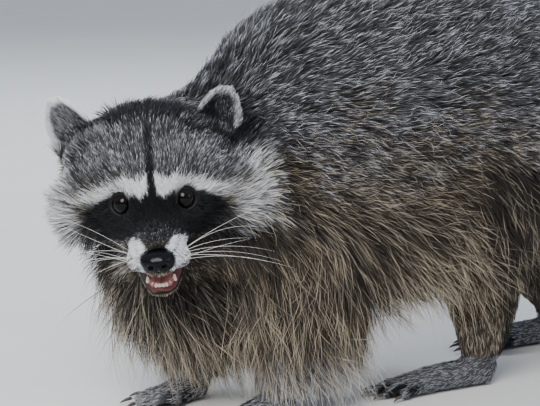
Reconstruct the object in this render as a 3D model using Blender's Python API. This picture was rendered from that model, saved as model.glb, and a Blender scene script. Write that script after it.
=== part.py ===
"""A life-size raccoon standing still, its back arched and its head turned to look over its left side.

The whole coat is modelled as one closed body, out to the tips of the fur: tubes for the trunk, neck,
head, limbs, toes and tail are blended with a voxel remesh. Thin cuts then part it into the pieces that
a person would name. Eyes, nose, tongue and claws are pieces of their own, each in a socket.

The raccoon faces -X, its left side is -Y and up is +Z. Lengths in the tables are millimetres.
"""

import math

import bmesh
import bpy
from mathutils import Matrix, Vector

MM = 0.001
GAP = 0.4  # clearance between neighbouring pieces
RING = 28  # corners of a body tube
TOE_RING = 12

BODY_VOXEL = 3.5  # trunk, neck, skull and limbs are blended at this grain first
FINE_VOXEL = 2.0  # then ears, muzzle and feet join them at this one
TRIANGLES = 3300  # of the whole coat, before it is parted
FINE_BIAS = 0.12  # how strongly thinning spares the face and feet
FINE_SHARE = 0.98
# How far detail is kept from the face, from an ear's tip and above the floor: where it ends, over what
# length it fades, and how strong it is.
DETAIL = ((95, 45, 1.0), (60, 25, 0.75), (42, 16, 0.8))

LEFT, RIGHT = -1, 1  # signs of Y
SIDES = {"left": LEFT, "right": RIGHT}

# Trunk, chest, neck and tail: each row is x, y, z of the middle, then half width and half height.
TRUNK = [
    (-150, 4, 172, 30, 40),
    (-128, 4, 180, 50, 68),
    (-98, 2, 191, 70, 96),
    (-66, 0, 204, 86, 113),
    (-30, 0, 213, 97, 121),
    (12, 0, 218, 105, 130),
    (60, 0, 222, 109, 130),
    (112, 0, 222, 106, 118),
    (158, 0, 218, 92, 98),
    (192, 0, 214, 68, 72),
    (212, 0, 212, 40, 44),
]
CHEST = [
    (-60, 0, 145, 72, 62),
    (-120, 4, 128, 70, 84),
    (-160, 10, 116, 66, 78),
    (-192, 13, 108, 56, 66),
    (-214, 15, 103, 40, 48),
    (-228, 16, 100, 22, 28),
]
NECK = [
    (-100, 2, 220, 64, 68),
    (-130, 5, 205, 60, 60),
    (-160, 7, 197, 60, 54),
    (-190, 3, 192, 60, 52),
]
TAIL = [
    (176, 0, 222, 34, 34),
    (208, 0, 216, 34, 34),
    (242, 2, 199, 38, 38),
    (284, 6, 172, 42, 42),
    (328, 13, 143, 43, 43),
    (372, 24, 120, 41, 41),
    (412, 38, 107, 36, 36),
    (444, 52, 102, 28, 28),
    (464, 62, 101, 15, 15),
]
TAIL_CUTS = {"tail_middle": 2.6, "tail_tip": 5.2}  # places along TAIL, counted in rows

# Flanks and limbs: x, distance from the midline and z, then half thickness sideways and fore-and-aft.
FLANK = [
    (-112, 40, 152, 34, 56),
    (-62, 50, 146, 44, 60),
    (0, 52, 144, 46, 62),
    (66, 50, 152, 46, 60),
]
FORELEG = {
    "left": [(-80, 44, 205, 34, 56), (-82, 50, 152, 42, 62), (-86, 54, 106, 42, 60),
             (-92, 57, 66, 37, 54), (-101, 59, 38, 29, 42), (-110, 60, 20, 21, 27)],
    "right": [(-96, 44, 205, 34, 56), (-108, 46, 152, 40, 56), (-122, 38, 106, 38, 46),
              (-137, 26, 66, 33, 37), (-148, 18, 38, 25, 29), (-152, 15, 20, 18, 22)],
}
HINDLEG = {
    "left": [(100, 46, 230, 56, 76), (82, 58, 184, 56, 76), (70, 62, 140, 48, 60),
             (72, 62, 104, 37, 42), (76, 61, 70, 29, 33), (77, 60, 44, 22, 25), (76, 59, 24, 16, 19)],
    "right": [(112, 46, 230, 56, 74), (128, 58, 184, 54, 72), (150, 58, 140, 46, 56),
              (180, 50, 104, 35, 41), (204, 40, 70, 28, 32), (218, 33, 44, 21, 25), (222, 31, 24, 16, 19)],
}

# Feet, in a frame that stands on the floor: distance forward, z of the middle, half width, half height.
FOREPAW = {
    "sole": [(-12, 12.5, 8, 10.5), (-7, 13.2, 12.6, 13.6), (2, 11, 15, 13), (14, 8.5, 17.5, 11),
             (26, 6, 18, 8), (33, 4.5, 15, 6)],
    # forward and sideways place of each toe's root, its heading, and its length
    "toes": [(14, 12, 38, 19), (25, 9, 17, 26), (29, 1.5, 2, 29), (27, -7, -13, 27), (20, -13, -31, 22)],
    "toe_radius": 4.6,
}
HINDFOOT = {
    "sole": [(-10, 12, 5.5, 9.5), (-6, 13, 9.8, 13.4), (2, 12, 13, 14), (22, 10.5, 14, 13), (46, 9.5, 16, 12),
             (66, 7.5, 18.5, 10), (80, 5.5, 17, 7)],
    "toes": [(60, 13, 24, 21), (73, 9.5, 12, 27), (78, 2, 3, 29), (76, -6, -7, 28), (69, -13, -19, 25)],
    "toe_radius": 4.9,
}
# Where each foot stands: x and y of the ankle's foot, and how far it is turned to the raccoon's left.
STANCE = {
    "forepaw_left": (FOREPAW, -114, -61, 16),
    "forepaw_right": (FOREPAW, -152, 14, 4),
    "hindfoot_left": (HINDFOOT, 80, -58, -2),
    "hindfoot_right": (HINDFOOT, 225, 30, -4),
}
NECK_LOW, NECK_BACK = 128, -140
WRIST, KNEE, ANKLE = 26, 104, 30  # heights of the cuts across the legs
# Corners of the regions that the head, jaw, neck, forepaws and lower hind legs are taken from.
HEAD_REGION = ((-56, -88, -66), (80, 88, 100))
JAW_REGION = ((-40, -36, -90), (70, 36))
NECK_REGION = ((-300, -110), (110, 320))
PAW_REGION = ((-300, -110, -5), (0, 110))
SHANK_REGION = ((-60, -120, -5), (290, 120))
EAR_REGION, EAR_REGION_BACK = (25, 21, 12), 4  # half sides, and how far it lies behind the ear's plate
TAIL_REGION = ((352, 30, 150), (140, 90, 150))  # middle and half sides
TAIL_PART_REGION = (150, 90, 90)
# Boxes round the feet: ahead of, behind and above the leg's last row, and nearest to and furthest from
# the midline.
FORE_BOX_AHEAD, FORE_BOX_BEHIND, FORE_BOX_UP, FORE_BOX_NEAR, FORE_BOX_FAR = 70, 59, 39, 21, 95
HIND_BOX = (115, 31, 51, 7, 105)
REGION_STEPS, REGION_CORNERS = 1, 12
LEG_ROOM = 5  # how far a leg's region stands proud of it
TOE_SINK = 1.4  # how far the toes are pressed into the floor's level, which cuts their flats
CLAW_LENGTH, CLAW_RADIUS, CLAW_DROP = 10.0, 2.0, 3.2

# The head has a frame of its own: forward along the mouth, left, up, from the middle of the eyes.
HEAD_AT = (-219, -61, 177)
HEAD_TURN, HEAD_DIP, HEAD_LEAN = 65, 15, 5.4  # degrees: to its left, nose down, towards its right
# Rows are forward and up of the middle, then half width and half height.
SKULL = [
    (16, -14, 25, 20),
    (6, -8, 40, 33),
    (-6, -3, 56, 45),
    (-22, 1, 67, 53),
    (-38, 4, 71, 58),
    (-56, 5, 69, 58),
    (-74, 3, 60, 53),
]
MUZZLE = [
    (51, -24, 9, 8),
    (46, -24.5, 14, 12),
    (36, -24, 19, 15),
    (22, -21, 22, 19),
    (8, -15, 28, 24),
    (-10, -8, 37, 30),
]
JAW = [
    (40, -55, 7, 3.5),
    (35, -54.5, 12, 5),
    (24, -51.8, 16, 7),
    (8, -46.3, 21, 11),
    (-12, -40, 30, 17),
    (-34, -30, 40, 24),
]
WHISKER_PAD = ((33, 12.5, -29), (13, 12.5, 10.5))  # forward, sideways, up; its three half axes
CHEEK = ((-28, 54, -10), (28, 29, 33))
BROW = ((3, 18, 17), (12, 13, 8))
FACE_AT = (30, 0, -24)
NOSE_AT, NOSE_HALF = (50, 0, -23), (9, 12.8, 8.8)
NOSTRIL_AT, NOSTRIL_RADIUS = (58.5, 6.2, -24), 2.4
EYE_AT, EYE_RADIUS = (6.5, 22, 6), 8.4
LIDS_AT, LIDS_RADIUS = (15.5, 24.5, 7), 8.6  # a ball that opens the fur in front of the eye
# Root and tip of each ear. The right one stands a little taller and further out.
EARS = {
    LEFT: ((-38, 42, 24), (-42, 61, 69)),
    RIGHT: ((-38, 46, 24), (-42, 69, 72)),
}
EAR_HALF_WIDTH, EAR_THICKNESS, EAR_CUP = 21, 4.8, 8.0
EAR_BASE_SPREAD = 0.6  # how much wider the ear's inner edge is at its root than its outer one
EAR_CUT = 0.55  # how far up the ear its cut lies
JAW_CUT, JAW_SLOPE = -38, 14
TONGUE = [(33, -50.0, 6.5, 2.4), (24, -48.2, 9.5, 3.4), (10, -44.2, 11, 4), (2, -40.6, 9, 3)]
LOWER_TEETH = {"incisors": 6, "incisor": (1.3, 3.4), "canine": (2.2, 7.5), "arch": (9.0, 8.0)}
TEETH_AT = (27.0, -50.0)  # forward and up of the middle of the lower arch


def clear_scene():
    for item in list(bpy.data.objects):
        bpy.data.objects.remove(item)


def finish_of(name, colour, roughness):
    """A plain Principled material."""
    made = bpy.data.materials.new(name)
    made.use_nodes = True
    shader = made.node_tree.nodes["Principled BSDF"]
    shader.inputs["Base Color"].default_value = (*colour, 1)
    shader.inputs["Roughness"].default_value = roughness
    shader.inputs["Metallic"].default_value = 0
    return made


def object_of(name, mesh):
    made = bpy.data.objects.new(name, mesh)
    bpy.context.scene.collection.objects.link(made)
    return made


def from_bmesh(name, bm):
    """Turns bm into an object in metres, with its faces pointing out."""
    bmesh.ops.recalc_face_normals(bm, faces=bm.faces)
    bmesh.ops.scale(bm, vec=(MM, MM, MM), verts=bm.verts)
    mesh = bpy.data.meshes.new(name)
    bm.to_mesh(mesh)
    bm.free()
    return object_of(name, mesh)


def applied(made):
    """The object with its modifiers applied."""
    bpy.context.view_layer.update()
    graph = bpy.context.evaluated_depsgraph_get()
    mesh = bpy.data.meshes.new_from_object(made.evaluated_get(graph))
    made.modifiers.clear()
    made.data = mesh
    return made


def between(a, b, t):
    return [u + (v - u) * t for u, v in zip(a, b)]


def smooth_rows(rows, steps=4):
    """Rows of numbers run through by a Catmull-Rom curve, steps rows for each span."""
    ends = [between(rows[1], rows[0], 2), *rows, between(rows[-2], rows[-1], 2)]
    found = []
    for i in range(1, len(ends) - 2):
        before, a, b, after = ends[i - 1 : i + 3]
        for k in range(steps):
            t = k / steps
            found.append([
                q + 0.5 * t * (r - p + t * (2 * p - 5 * q + 4 * r - s + t * (3 * (q - r) + s - p)))
                for p, q, r, s in zip(before, a, b, after)
            ])
    return [*found, list(rows[-1])]


def tube(name, stations, sideways, corners=RING):
    """A closed tube. Each station is its middle (a Vector), half width along sideways and half height."""
    bm = bmesh.new()
    rings = []
    for i, (middle, wide, high) in enumerate(stations):
        ahead = stations[min(i + 1, len(stations) - 1)][0] - stations[max(i - 1, 0)][0]
        side = (sideways - ahead * sideways.dot(ahead) / ahead.length_squared).normalized()
        up = ahead.cross(side).normalized()
        angles = [math.tau * k / corners for k in range(corners)]
        rings.append([
            bm.verts.new(middle + side * wide * math.cos(a) + up * high * math.sin(a)) for a in angles
        ])
    for ring, following in zip(rings, rings[1:]):
        for k in range(corners):
            n = (k + 1) % corners
            # Triangles, because a Boolean may bend a twisted quad either way.
            bm.faces.new((ring[k], ring[n], following[n]))
            bm.faces.new((ring[k], following[n], following[k]))
    for ring, beyond in ((rings[0], -1), (rings[-1], 1)):
        first, last = (0, 1) if beyond < 0 else (-2, -1)
        way = (stations[last][0] - stations[first][0]).normalized() * beyond
        station = stations[0] if beyond < 0 else stations[-1]
        tip = bm.verts.new(station[0] + way * min(station[1], station[2]) * 0.55)
        for k in range(corners):
            bm.faces.new((ring[k], ring[(k + 1) % corners], tip))
    return from_bmesh(name, bm)


def body_tube(name, rows):
    """A tube along the body from rows of x, y, z, half width, half height."""
    stations = [(Vector(r[:3]), r[3], r[4]) for r in smooth_rows(rows)]
    return tube(name, stations, Vector((0, 1, 0)))


def limb(name, rows, side, steps=4, corners=RING):
    """A limb from rows of x, distance from the midline, z, and its half thicknesses."""
    stations = [(Vector((r[0], side * r[1], r[2])), r[3], r[4]) for r in smooth_rows(rows, steps)]
    return tube(name, stations, Vector((0, 1, 0)), corners)


def head_matrix():
    """From the head's forward, left, up to the body's frame, in millimetres."""
    turn, dip, lean = (math.radians(a) for a in (HEAD_TURN, HEAD_DIP, HEAD_LEAN))
    forward = Vector((-math.cos(turn) * math.cos(dip), -math.sin(turn) * math.cos(dip), -math.sin(dip)))
    level = Vector((math.sin(turn), -math.cos(turn), 0))
    upright = forward.cross(level)
    left = level * math.cos(lean) + upright * math.sin(lean)
    up = upright * math.cos(lean) - level * math.sin(lean)
    rotation = Matrix((forward, left, up)).transposed().to_4x4()
    return Matrix.Translation(HEAD_AT) @ rotation


HEAD = head_matrix()


def in_head(forward, left, up):
    return HEAD @ Vector((forward, left, up))


def mirrored(place, side):
    """A place in the head's frame given for the left, moved to that side."""
    forward, left, up = place
    return in_head(forward, -side * left, up)


def head_tube(name, rows, steps=4, corners=RING):
    """A tube along the middle of the head, from rows of forward, up, half width and half height."""
    stations = [(in_head(r[0], 0, r[1]), r[2], r[3]) for r in smooth_rows(rows, steps)]
    return tube(name, stations, HEAD.to_3x3() @ Vector((0, 1, 0)), corners)


def ball(name, middle, half, turned=None, detail=2):
    """An ellipsoid with its three half axes, turned as the matrix says."""
    bm = bmesh.new()
    bmesh.ops.create_icosphere(bm, subdivisions=detail, radius=1)
    bmesh.ops.scale(bm, vec=half, verts=bm.verts)
    if turned is not None:
        bmesh.ops.rotate(bm, cent=(0, 0, 0), matrix=turned, verts=bm.verts)
    bmesh.ops.translate(bm, vec=middle, verts=bm.verts)
    return from_bmesh(name, bm)


def ear_frame(side):
    """An ear's root, its height, and the ways it rises, spreads and opens: forward and a little outward."""
    root, tip = (mirrored(place, side) for place in EARS[side])
    rise = (tip - root).normalized()
    across = rise.cross(HEAD.to_3x3() @ Vector((1, -side * 0.55, 0.05))).normalized()
    return root, (tip - root).length, rise, across, across.cross(rise)


def ear(name, side):
    """A rounded, cupped ear: a bent sheet given a thickness."""
    root, height, rise, across, opens = ear_frame(side)
    rows, columns = 9, 8
    bm = bmesh.new()
    grid = []
    for i in range(rows + 1):
        v = math.sin(0.5 * math.pi * i / rows) * 0.985
        half = EAR_HALF_WIDTH * (0.95 + 0.08 * v) * math.sqrt(1 - v**3.2)
        line = []
        for k in range(columns + 1):
            w = 2 * k / columns - 1
            spread = 1 + EAR_BASE_SPREAD * (1 - v) ** 1.5 * max(0, -side * w)
            cup = EAR_CUP * (w * w - 1) * (1 - 0.45 * v)
            line.append(bm.verts.new(root + rise * height * v + across * half * w * spread + opens * cup))
        grid.append(line)
    for low, high in zip(grid, grid[1:]):
        for k in range(columns):
            bm.faces.new((low[k], low[k + 1], high[k + 1], high[k]))
    made = from_bmesh(name, bm)
    thick = made.modifiers.new("thick", "SOLIDIFY")
    thick.thickness = EAR_THICKNESS * MM
    thick.offset = 0
    return applied(made)


def foot_frame(x, y, turn):
    """From a foot's forward, left, up to the body's frame."""
    angle = math.pi + math.radians(turn)
    return Matrix.Translation((x, y, 0)) @ Matrix.Rotation(angle, 4, "Z")


def toes_of(plan, side):
    """Root, tip and heading of each toe, in the foot's frame. The first toe is the inner one."""
    for forward, inward, heading, length in plan["toes"]:
        turn = math.radians(heading)
        root = Vector((forward, side * inward, plan["toe_radius"] + 2.5))
        way = Vector((math.cos(turn), side * math.sin(turn), 0))
        tip = root + way * (length - plan["toe_radius"])
        tip.z = plan["toe_radius"] - TOE_SINK
        yield root, tip, way


def foot(name, plan, x, y, turn):
    """The sole and its five toes, as closed tubes that overlap."""
    side = RIGHT if y > 0 else LEFT
    frame = foot_frame(x, y, turn)
    sideways = frame.to_3x3() @ Vector((0, 1, 0))
    rows = smooth_rows(plan["sole"], 3)
    made = [tube(name, [(frame @ Vector((r[0], 0, r[1])), r[2], r[3]) for r in rows], sideways)]
    radius = plan["toe_radius"]
    for root, tip, _ in toes_of(plan, side):
        knuckle = root.lerp(tip, 0.5) + Vector((0, 0, 2.2))
        path = [(root, radius + 0.6), (knuckle, radius), (tip, radius)]
        stations = [(frame @ p, r, r) for p, r in path]
        made.append(tube(name, stations, sideways, TOE_RING))
    return made


def claw(name, plan, x, y, turn, toe):
    """A curved, pointed claw that starts inside the toe's tip and ends just above the floor."""
    side = RIGHT if y > 0 else LEFT
    frame = foot_frame(x, y, turn)
    _, tip, way = list(toes_of(plan, side))[toe]
    start = tip + way * (plan["toe_radius"] - 3.2)
    stations = []
    for step, size in ((0, 1.0), (0.5, 0.82), (0.97, 0.2)):
        sunk = CLAW_DROP * step * step
        middle = start + way * CLAW_LENGTH * step + Vector((0, 0, 1.4 - sunk))
        stations.append((frame @ middle, CLAW_RADIUS * size * 0.8, CLAW_RADIUS * size))
    return tube(name, stations, frame.to_3x3() @ way.cross(Vector((0, 0, 1))), 5)


def joined(name, pieces):
    """All the pieces as one mesh, still overlapping."""
    bm = bmesh.new()
    for piece in pieces:
        bm.from_mesh(piece.data)
        bpy.data.objects.remove(piece)
    mesh = bpy.data.meshes.new(name)
    bm.to_mesh(mesh)
    bm.free()
    return object_of(name, mesh)


def blended(name, pieces, voxel, rounds):
    """The pieces as one closed surface, with the creases between them smoothed."""
    made = joined(name, pieces)
    remesh = made.modifiers.new("blend", "REMESH")
    remesh.mode = "VOXEL"
    remesh.voxel_size = voxel * MM
    smooth = made.modifiers.new("ease", "SMOOTH")
    smooth.factor = 0.5
    smooth.iterations = rounds
    return applied(made)


def thinned(made, triangles, fine):
    """Fewer triangles, kept mostly where fine(vertex in mm) is near 1."""
    # The collapse weighs errors that vanish at a metre's scale, so it is done in millimetres.
    made.data.transform(Matrix.Scale(1 / MM, 4))
    group = made.vertex_groups.new(name="coarse")
    for vertex in made.data.vertices:
        group.add([vertex.index], 1 - FINE_SHARE * fine(vertex.co), "REPLACE")
    thin = made.modifiers.new("thin", "DECIMATE")
    thin.ratio = triangles / (2 * len(made.data.polygons))
    thin.vertex_group = group.name
    thin.vertex_group_factor = FINE_BIAS
    applied(made)
    made.vertex_groups.clear()
    made.data.transform(Matrix.Scale(MM, 4))
    return made


def near_detail(place):
    """1 on the face and feet, falling to 0 on the body."""
    face = (place - in_head(*FACE_AT)).length
    ears = min((place - mirrored(EARS[side][1], side)).length for side in SIDES.values())
    found = (face, ears, place.z)
    return max(
        share * min(1, max(0, (end - away) / fade)) for (end, fade, share), away in zip(DETAIL, found)
    )


def cut(made, cutter, operation="DIFFERENCE"):
    """One Boolean, applied. The cutter goes."""
    boolean = made.modifiers.new("cut", "BOOLEAN")
    boolean.operation = operation
    boolean.object = cutter
    boolean.solver = "EXACT"
    applied(made)
    bpy.data.objects.remove(cutter)
    return made


def grown(made, by):
    """A copy that stands proud of the piece by that many millimetres."""
    copy = object_of(made.name + "_room", made.data.copy())
    copy.matrix_world = made.matrix_world
    swell = copy.modifiers.new("swell", "DISPLACE")
    swell.strength = by * MM
    swell.mid_level = 0
    return applied(copy)


def block(name, middle, half, turned=None):
    """A box, given by its middle and half sides."""
    bm = bmesh.new()
    bmesh.ops.create_cube(bm, size=2)
    bmesh.ops.scale(bm, vec=half, verts=bm.verts)
    if turned is not None:
        bmesh.ops.rotate(bm, cent=(0, 0, 0), matrix=turned, verts=bm.verts)
    bmesh.ops.translate(bm, vec=middle, verts=bm.verts)
    return from_bmesh(name, bm)


def plane_turn(facing, across=Vector((0, 1, 0))):
    """A rotation whose local X looks along facing."""
    facing = facing.normalized()
    side = (across - facing * across.dot(facing)).normalized()
    return Matrix((facing, side, facing.cross(side))).transposed()


def one_body(made):
    """Drops the crumbs that a cut leaves, keeping the largest body."""
    bm = bmesh.new()
    bm.from_mesh(made.data)
    islands = []
    waiting = set(bm.verts)
    while waiting:
        island, edge = set(), [waiting.pop()]
        while edge:
            vertex = edge.pop()
            island.add(vertex)
            around = {e.other_vert(vertex) for e in vertex.link_edges} & waiting
            waiting -= around
            edge.extend(around)
        islands.append(island)
    islands.sort(key=len)
    for crumb in islands[:-1]:
        bmesh.ops.delete(bm, geom=list(crumb), context="VERTS")
    bm.to_mesh(made.data)
    bm.free()
    return made


def split(body, name, region, room=None):
    """Takes the part of body that lies in region off as a piece of its own. The room that it leaves is
    a thin gap wider than the region."""
    piece = object_of(name, body.data.copy())
    room = room or grown(region, GAP)
    cut(piece, region, "INTERSECT")
    cut(body, room)
    one_body(body)
    return one_body(piece)


def slab(low, high):
    """A box between two corners."""
    low, high = Vector(low), Vector(high)
    return block("region", (low + high) / 2, (high - low) / 2)


def head_box(low, high, slope=0):
    """A box between two corners in the head's frame, its front tipped down by slope degrees."""
    low, high = Vector(low), Vector(high)
    tip = Matrix.Rotation(math.radians(slope), 3, "Y")
    middle = in_head(*((low + high) / 2))
    return block("region", middle, (high - low) / 2, HEAD.to_3x3() @ tip)


def coat():
    """The whole animal as one closed surface, out to the tips of its coat, flat under its feet."""
    rows = {"trunk": TRUNK, "chest": CHEST, "neck": NECK, "tail": TAIL}
    large = [body_tube(name, run) for name, run in rows.items()]
    large.append(head_tube("skull", SKULL))
    turn = HEAD.to_3x3()
    for name, side in SIDES.items():
        large.append(limb("flank", FLANK, side))
        large.append(limb("foreleg", FORELEG[name], side))
        large.append(limb("hindleg", HINDLEG[name], side))
        large.append(ball("cheek", mirrored(CHEEK[0], side), CHEEK[1], turn))
    fine = [blended("large", large, BODY_VOXEL, 36)]
    fine += [head_tube("muzzle", MUZZLE), head_tube("jaw", JAW)]
    for side in SIDES.values():
        fine.append(ball("pad", mirrored(WHISKER_PAD[0], side), WHISKER_PAD[1], turn))
        fine.append(ball("brow", mirrored(BROW[0], side), BROW[1], turn))
        fine.append(ear("ear", side))
    for name, (plan, x, y, heading) in STANCE.items():
        fine += foot(name, plan, x, y, heading)
    whole = blended("trunk", fine, FINE_VOXEL, 2)
    thinned(whole, TRIANGLES, near_detail)
    return cut(whole, block("floor", (100, 0, -50), (600, 400, 50)))


def station_plane(rows, place):
    """The middle and heading of a run of rows at a place counted in rows."""
    i = int(place)
    here, following = Vector(rows[i][:3]), Vector(rows[i + 1][:3])
    return here.lerp(following, place - i), following - here


def leg_region(rows, side, proud, foot):
    """Room for a whole leg: a tube round it from its second row down, and a box round its foot. The foot's
    box is given by how far it goes ahead, behind and up from the last row, and its nearest and furthest
    distance from the midline."""
    tube_rows = [(x, out, z, wide + proud, deep + proud) for x, out, z, wide, deep in rows[1:-1]]
    room = limb("region", tube_rows, side, REGION_STEPS, REGION_CORNERS)
    ahead, behind, up, near, far = foot
    x = rows[-1][0]
    near, far = sorted((side * (near - proud), side * (far + proud)))
    box = slab((x - ahead - proud, near, -proud), (x + behind + proud, far, up + proud))
    return cut(room, box, "UNION")


def take_leg(trunk, name, rows, side, foot):
    regions = [leg_region(rows, side, LEG_ROOM + more, foot) for more in (0, GAP)]
    return split(trunk, name, *regions)


def parted(trunk):
    """Cuts the coat into its named pieces, which it returns by name. The trunk is what is left."""
    pieces = {}
    head = split(trunk, "head", head_box(*HEAD_REGION))
    for name, side in SIDES.items():
        root, height, rise, across, opens = ear_frame(side)
        middle = root + rise * (height * EAR_CUT + EAR_REGION[0]) - opens * EAR_REGION_BACK
        region = block("region", middle, EAR_REGION, plane_turn(rise, across))
        pieces["ear_" + name] = split(head, "ear_" + name, region)
    low, high = JAW_REGION
    pieces["jaw"] = split(head, "jaw", head_box(low, (*high, JAW_CUT), JAW_SLOPE))
    pieces["head"] = head
    low, high = NECK_REGION
    pieces["neck"] = split(trunk, "neck", slab((*low, NECK_LOW), (NECK_BACK, *high)))
    for name, side in SIDES.items():
        rows = FORELEG[name]
        near = rows[-1][1] - FORE_BOX_NEAR
        foot_box = (FORE_BOX_AHEAD, FORE_BOX_BEHIND, FORE_BOX_UP, near, FORE_BOX_FAR)
        leg = take_leg(trunk, "foreleg_" + name, rows, side, foot_box)
        pieces["foreleg_" + name] = leg
        low, high = PAW_REGION
        pieces["forepaw_" + name] = split(leg, "forepaw_" + name, slab(low, (*high, WRIST)))
    low, high = SHANK_REGION
    for name, side in SIDES.items():
        thigh = take_leg(trunk, "thigh_" + name, HINDLEG[name], side, HIND_BOX)
        shank = split(thigh, "shank_" + name, slab(low, (*high, KNEE)))
        pieces["thigh_" + name] = thigh
        pieces["shank_" + name] = shank
        pieces["hindfoot_" + name] = split(shank, "hindfoot_" + name, slab(low, (*high, ANKLE)))
    pieces["tail_base"] = split(trunk, "tail_base", block("region", *TAIL_REGION))
    for name, place in reversed(TAIL_CUTS.items()):
        middle, heading = station_plane(TAIL, place)
        middle += heading.normalized() * TAIL_PART_REGION[0]
        region = block("region", middle, TAIL_PART_REGION, plane_turn(heading))
        pieces[name] = split(pieces["tail_base"], name, region)
    pieces["trunk"] = trunk
    return pieces


def fit_in(pieces, host, name, made):
    """Gives made a socket in the host piece, a thin gap wider than itself."""
    cut(pieces[host], grown(made, GAP))
    pieces[name] = made


def nose():
    made = ball("nose", in_head(*NOSE_AT), NOSE_HALF, HEAD.to_3x3())
    for side in SIDES.values():
        cut(made, ball("nostril", mirrored(NOSTRIL_AT, side), [NOSTRIL_RADIUS] * 3, detail=1))
    return made


def lower_teeth():
    """Six incisors across the front of the jaw and a canine at each side."""
    teeth = []
    wide, deep = LOWER_TEETH["arch"]
    count = LOWER_TEETH["incisors"]
    incisors = [("incisor", 0.62 * (2 * k / (count - 1) - 1)) for k in range(count)]
    for kind, place in [("canine", -1.0), *incisors, ("canine", 1.0)]:
        radius, height = LOWER_TEETH[kind]
        forward = TEETH_AT[0] + deep * (1 - place * place)
        root = in_head(forward, wide * place, TEETH_AT[1] - 2.5)
        tip = in_head(forward + 1.0, wide * place * 1.05, TEETH_AT[1] - 2.5 + height)
        end = 0.25 if kind == "canine" else 0.75
        stations = [(root, radius, radius), (root.lerp(tip, 0.5), radius * 0.9, radius * 0.9),
                    (tip, radius * end, radius * end)]
        teeth.append(tube("tooth", stations, HEAD.to_3x3() @ Vector((0, 1, 0)), 6))
    return teeth


def rest_on_origin(pieces):
    """Moves everything so that the middle of the box's underside is the origin."""
    bpy.context.view_layer.update()
    corners = [p.matrix_world @ v.co for p in pieces for v in p.data.vertices]
    low = Vector(min(c[i] for c in corners) for i in range(3))
    high = Vector(max(c[i] for c in corners) for i in range(3))
    shift = Vector((-(low.x + high.x) / 2, -(low.y + high.y) / 2, -low.z))
    for piece in pieces:
        piece.data.transform(Matrix.Translation(shift))


def coloured(pieces):
    finishes = {
        "coat": finish_of("grizzled_coat", (0.25, 0.22, 0.19), 0.8),
        "ring": finish_of("ringed_tail", (0.10, 0.085, 0.075), 0.8),
        "paw": finish_of("pale_paw", (0.36, 0.34, 0.31), 0.75),
        "ear": finish_of("pale_ear", (0.45, 0.44, 0.42), 0.75),
        "nose": finish_of("wet_nose", (0.012, 0.012, 0.015), 0.22),
        "eye": finish_of("dark_eye", (0.01, 0.008, 0.007), 0.05),
        "tongue": finish_of("tongue", (0.55, 0.19, 0.17), 0.35),
        "claw": finish_of("claw", (0.10, 0.08, 0.065), 0.4),
    }
    kinds = {"tail": "ring", "forepaw": "paw", "hindfoot": "paw", "ear": "ear", "nose": "nose",
             "eye": "eye", "tongue": "tongue", "claw": "claw"}
    for name, piece in pieces.items():
        piece.name = name
        piece.data.name = name
        piece.data.materials.clear()
        piece.data.materials.append(finishes[kinds.get(name.split("_")[0], "coat")])
        piece.data.shade_smooth()
        piece.data.set_sharp_from_angle(angle=math.radians(40))


def main():
    clear_scene()
    pieces = parted(coat())
    for tooth in lower_teeth():
        cut(pieces["jaw"], tooth, "UNION")
    for name, side in SIDES.items():
        eye = ball("eye_" + name, mirrored(EYE_AT, side), [EYE_RADIUS] * 3)
        cut(pieces["head"], ball("opening", mirrored(LIDS_AT, side), [LIDS_RADIUS] * 3, detail=2))
        fit_in(pieces, "head", "eye_" + name, eye)
    fit_in(pieces, "head", "nose", nose())
    fit_in(pieces, "jaw", "tongue", head_tube("tongue", TONGUE, 2, 12))
    for foot_name, stance in STANCE.items():
        for toe in range(5):
            name = f"claw_{foot_name}_{toe + 1}"
            fit_in(pieces, foot_name, name, claw(name, *stance, toe))
    rest_on_origin(list(pieces.values()))
    coloured(pieces)


main()
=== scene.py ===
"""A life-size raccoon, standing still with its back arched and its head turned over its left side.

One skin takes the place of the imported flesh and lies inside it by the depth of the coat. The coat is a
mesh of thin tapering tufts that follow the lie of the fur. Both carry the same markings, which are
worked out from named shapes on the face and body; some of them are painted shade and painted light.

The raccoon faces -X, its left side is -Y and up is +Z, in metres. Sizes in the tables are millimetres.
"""

import math

import bmesh
import bpy
import numpy as np
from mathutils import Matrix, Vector
from mathutils.bvhtree import BVHTree


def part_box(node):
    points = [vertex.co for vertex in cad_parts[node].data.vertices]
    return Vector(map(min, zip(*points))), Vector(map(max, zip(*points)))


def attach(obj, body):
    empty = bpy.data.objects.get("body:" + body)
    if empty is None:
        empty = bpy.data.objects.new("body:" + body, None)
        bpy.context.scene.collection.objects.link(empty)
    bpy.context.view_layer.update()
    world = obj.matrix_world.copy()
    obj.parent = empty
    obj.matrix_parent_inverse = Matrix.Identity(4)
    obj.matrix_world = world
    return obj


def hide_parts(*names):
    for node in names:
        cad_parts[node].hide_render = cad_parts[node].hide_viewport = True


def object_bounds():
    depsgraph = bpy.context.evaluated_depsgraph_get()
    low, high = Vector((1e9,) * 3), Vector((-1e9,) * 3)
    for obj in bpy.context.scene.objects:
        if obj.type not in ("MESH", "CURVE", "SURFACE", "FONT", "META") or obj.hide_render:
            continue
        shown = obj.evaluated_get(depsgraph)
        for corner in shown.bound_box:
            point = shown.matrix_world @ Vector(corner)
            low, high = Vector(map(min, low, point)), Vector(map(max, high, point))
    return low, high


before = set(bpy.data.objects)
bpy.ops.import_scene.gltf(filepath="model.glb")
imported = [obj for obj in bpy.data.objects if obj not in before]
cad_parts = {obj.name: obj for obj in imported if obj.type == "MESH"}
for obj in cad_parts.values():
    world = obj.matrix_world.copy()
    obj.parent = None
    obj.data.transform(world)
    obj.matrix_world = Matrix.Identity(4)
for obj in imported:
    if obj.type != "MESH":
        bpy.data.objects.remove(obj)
cad_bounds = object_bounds()

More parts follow.
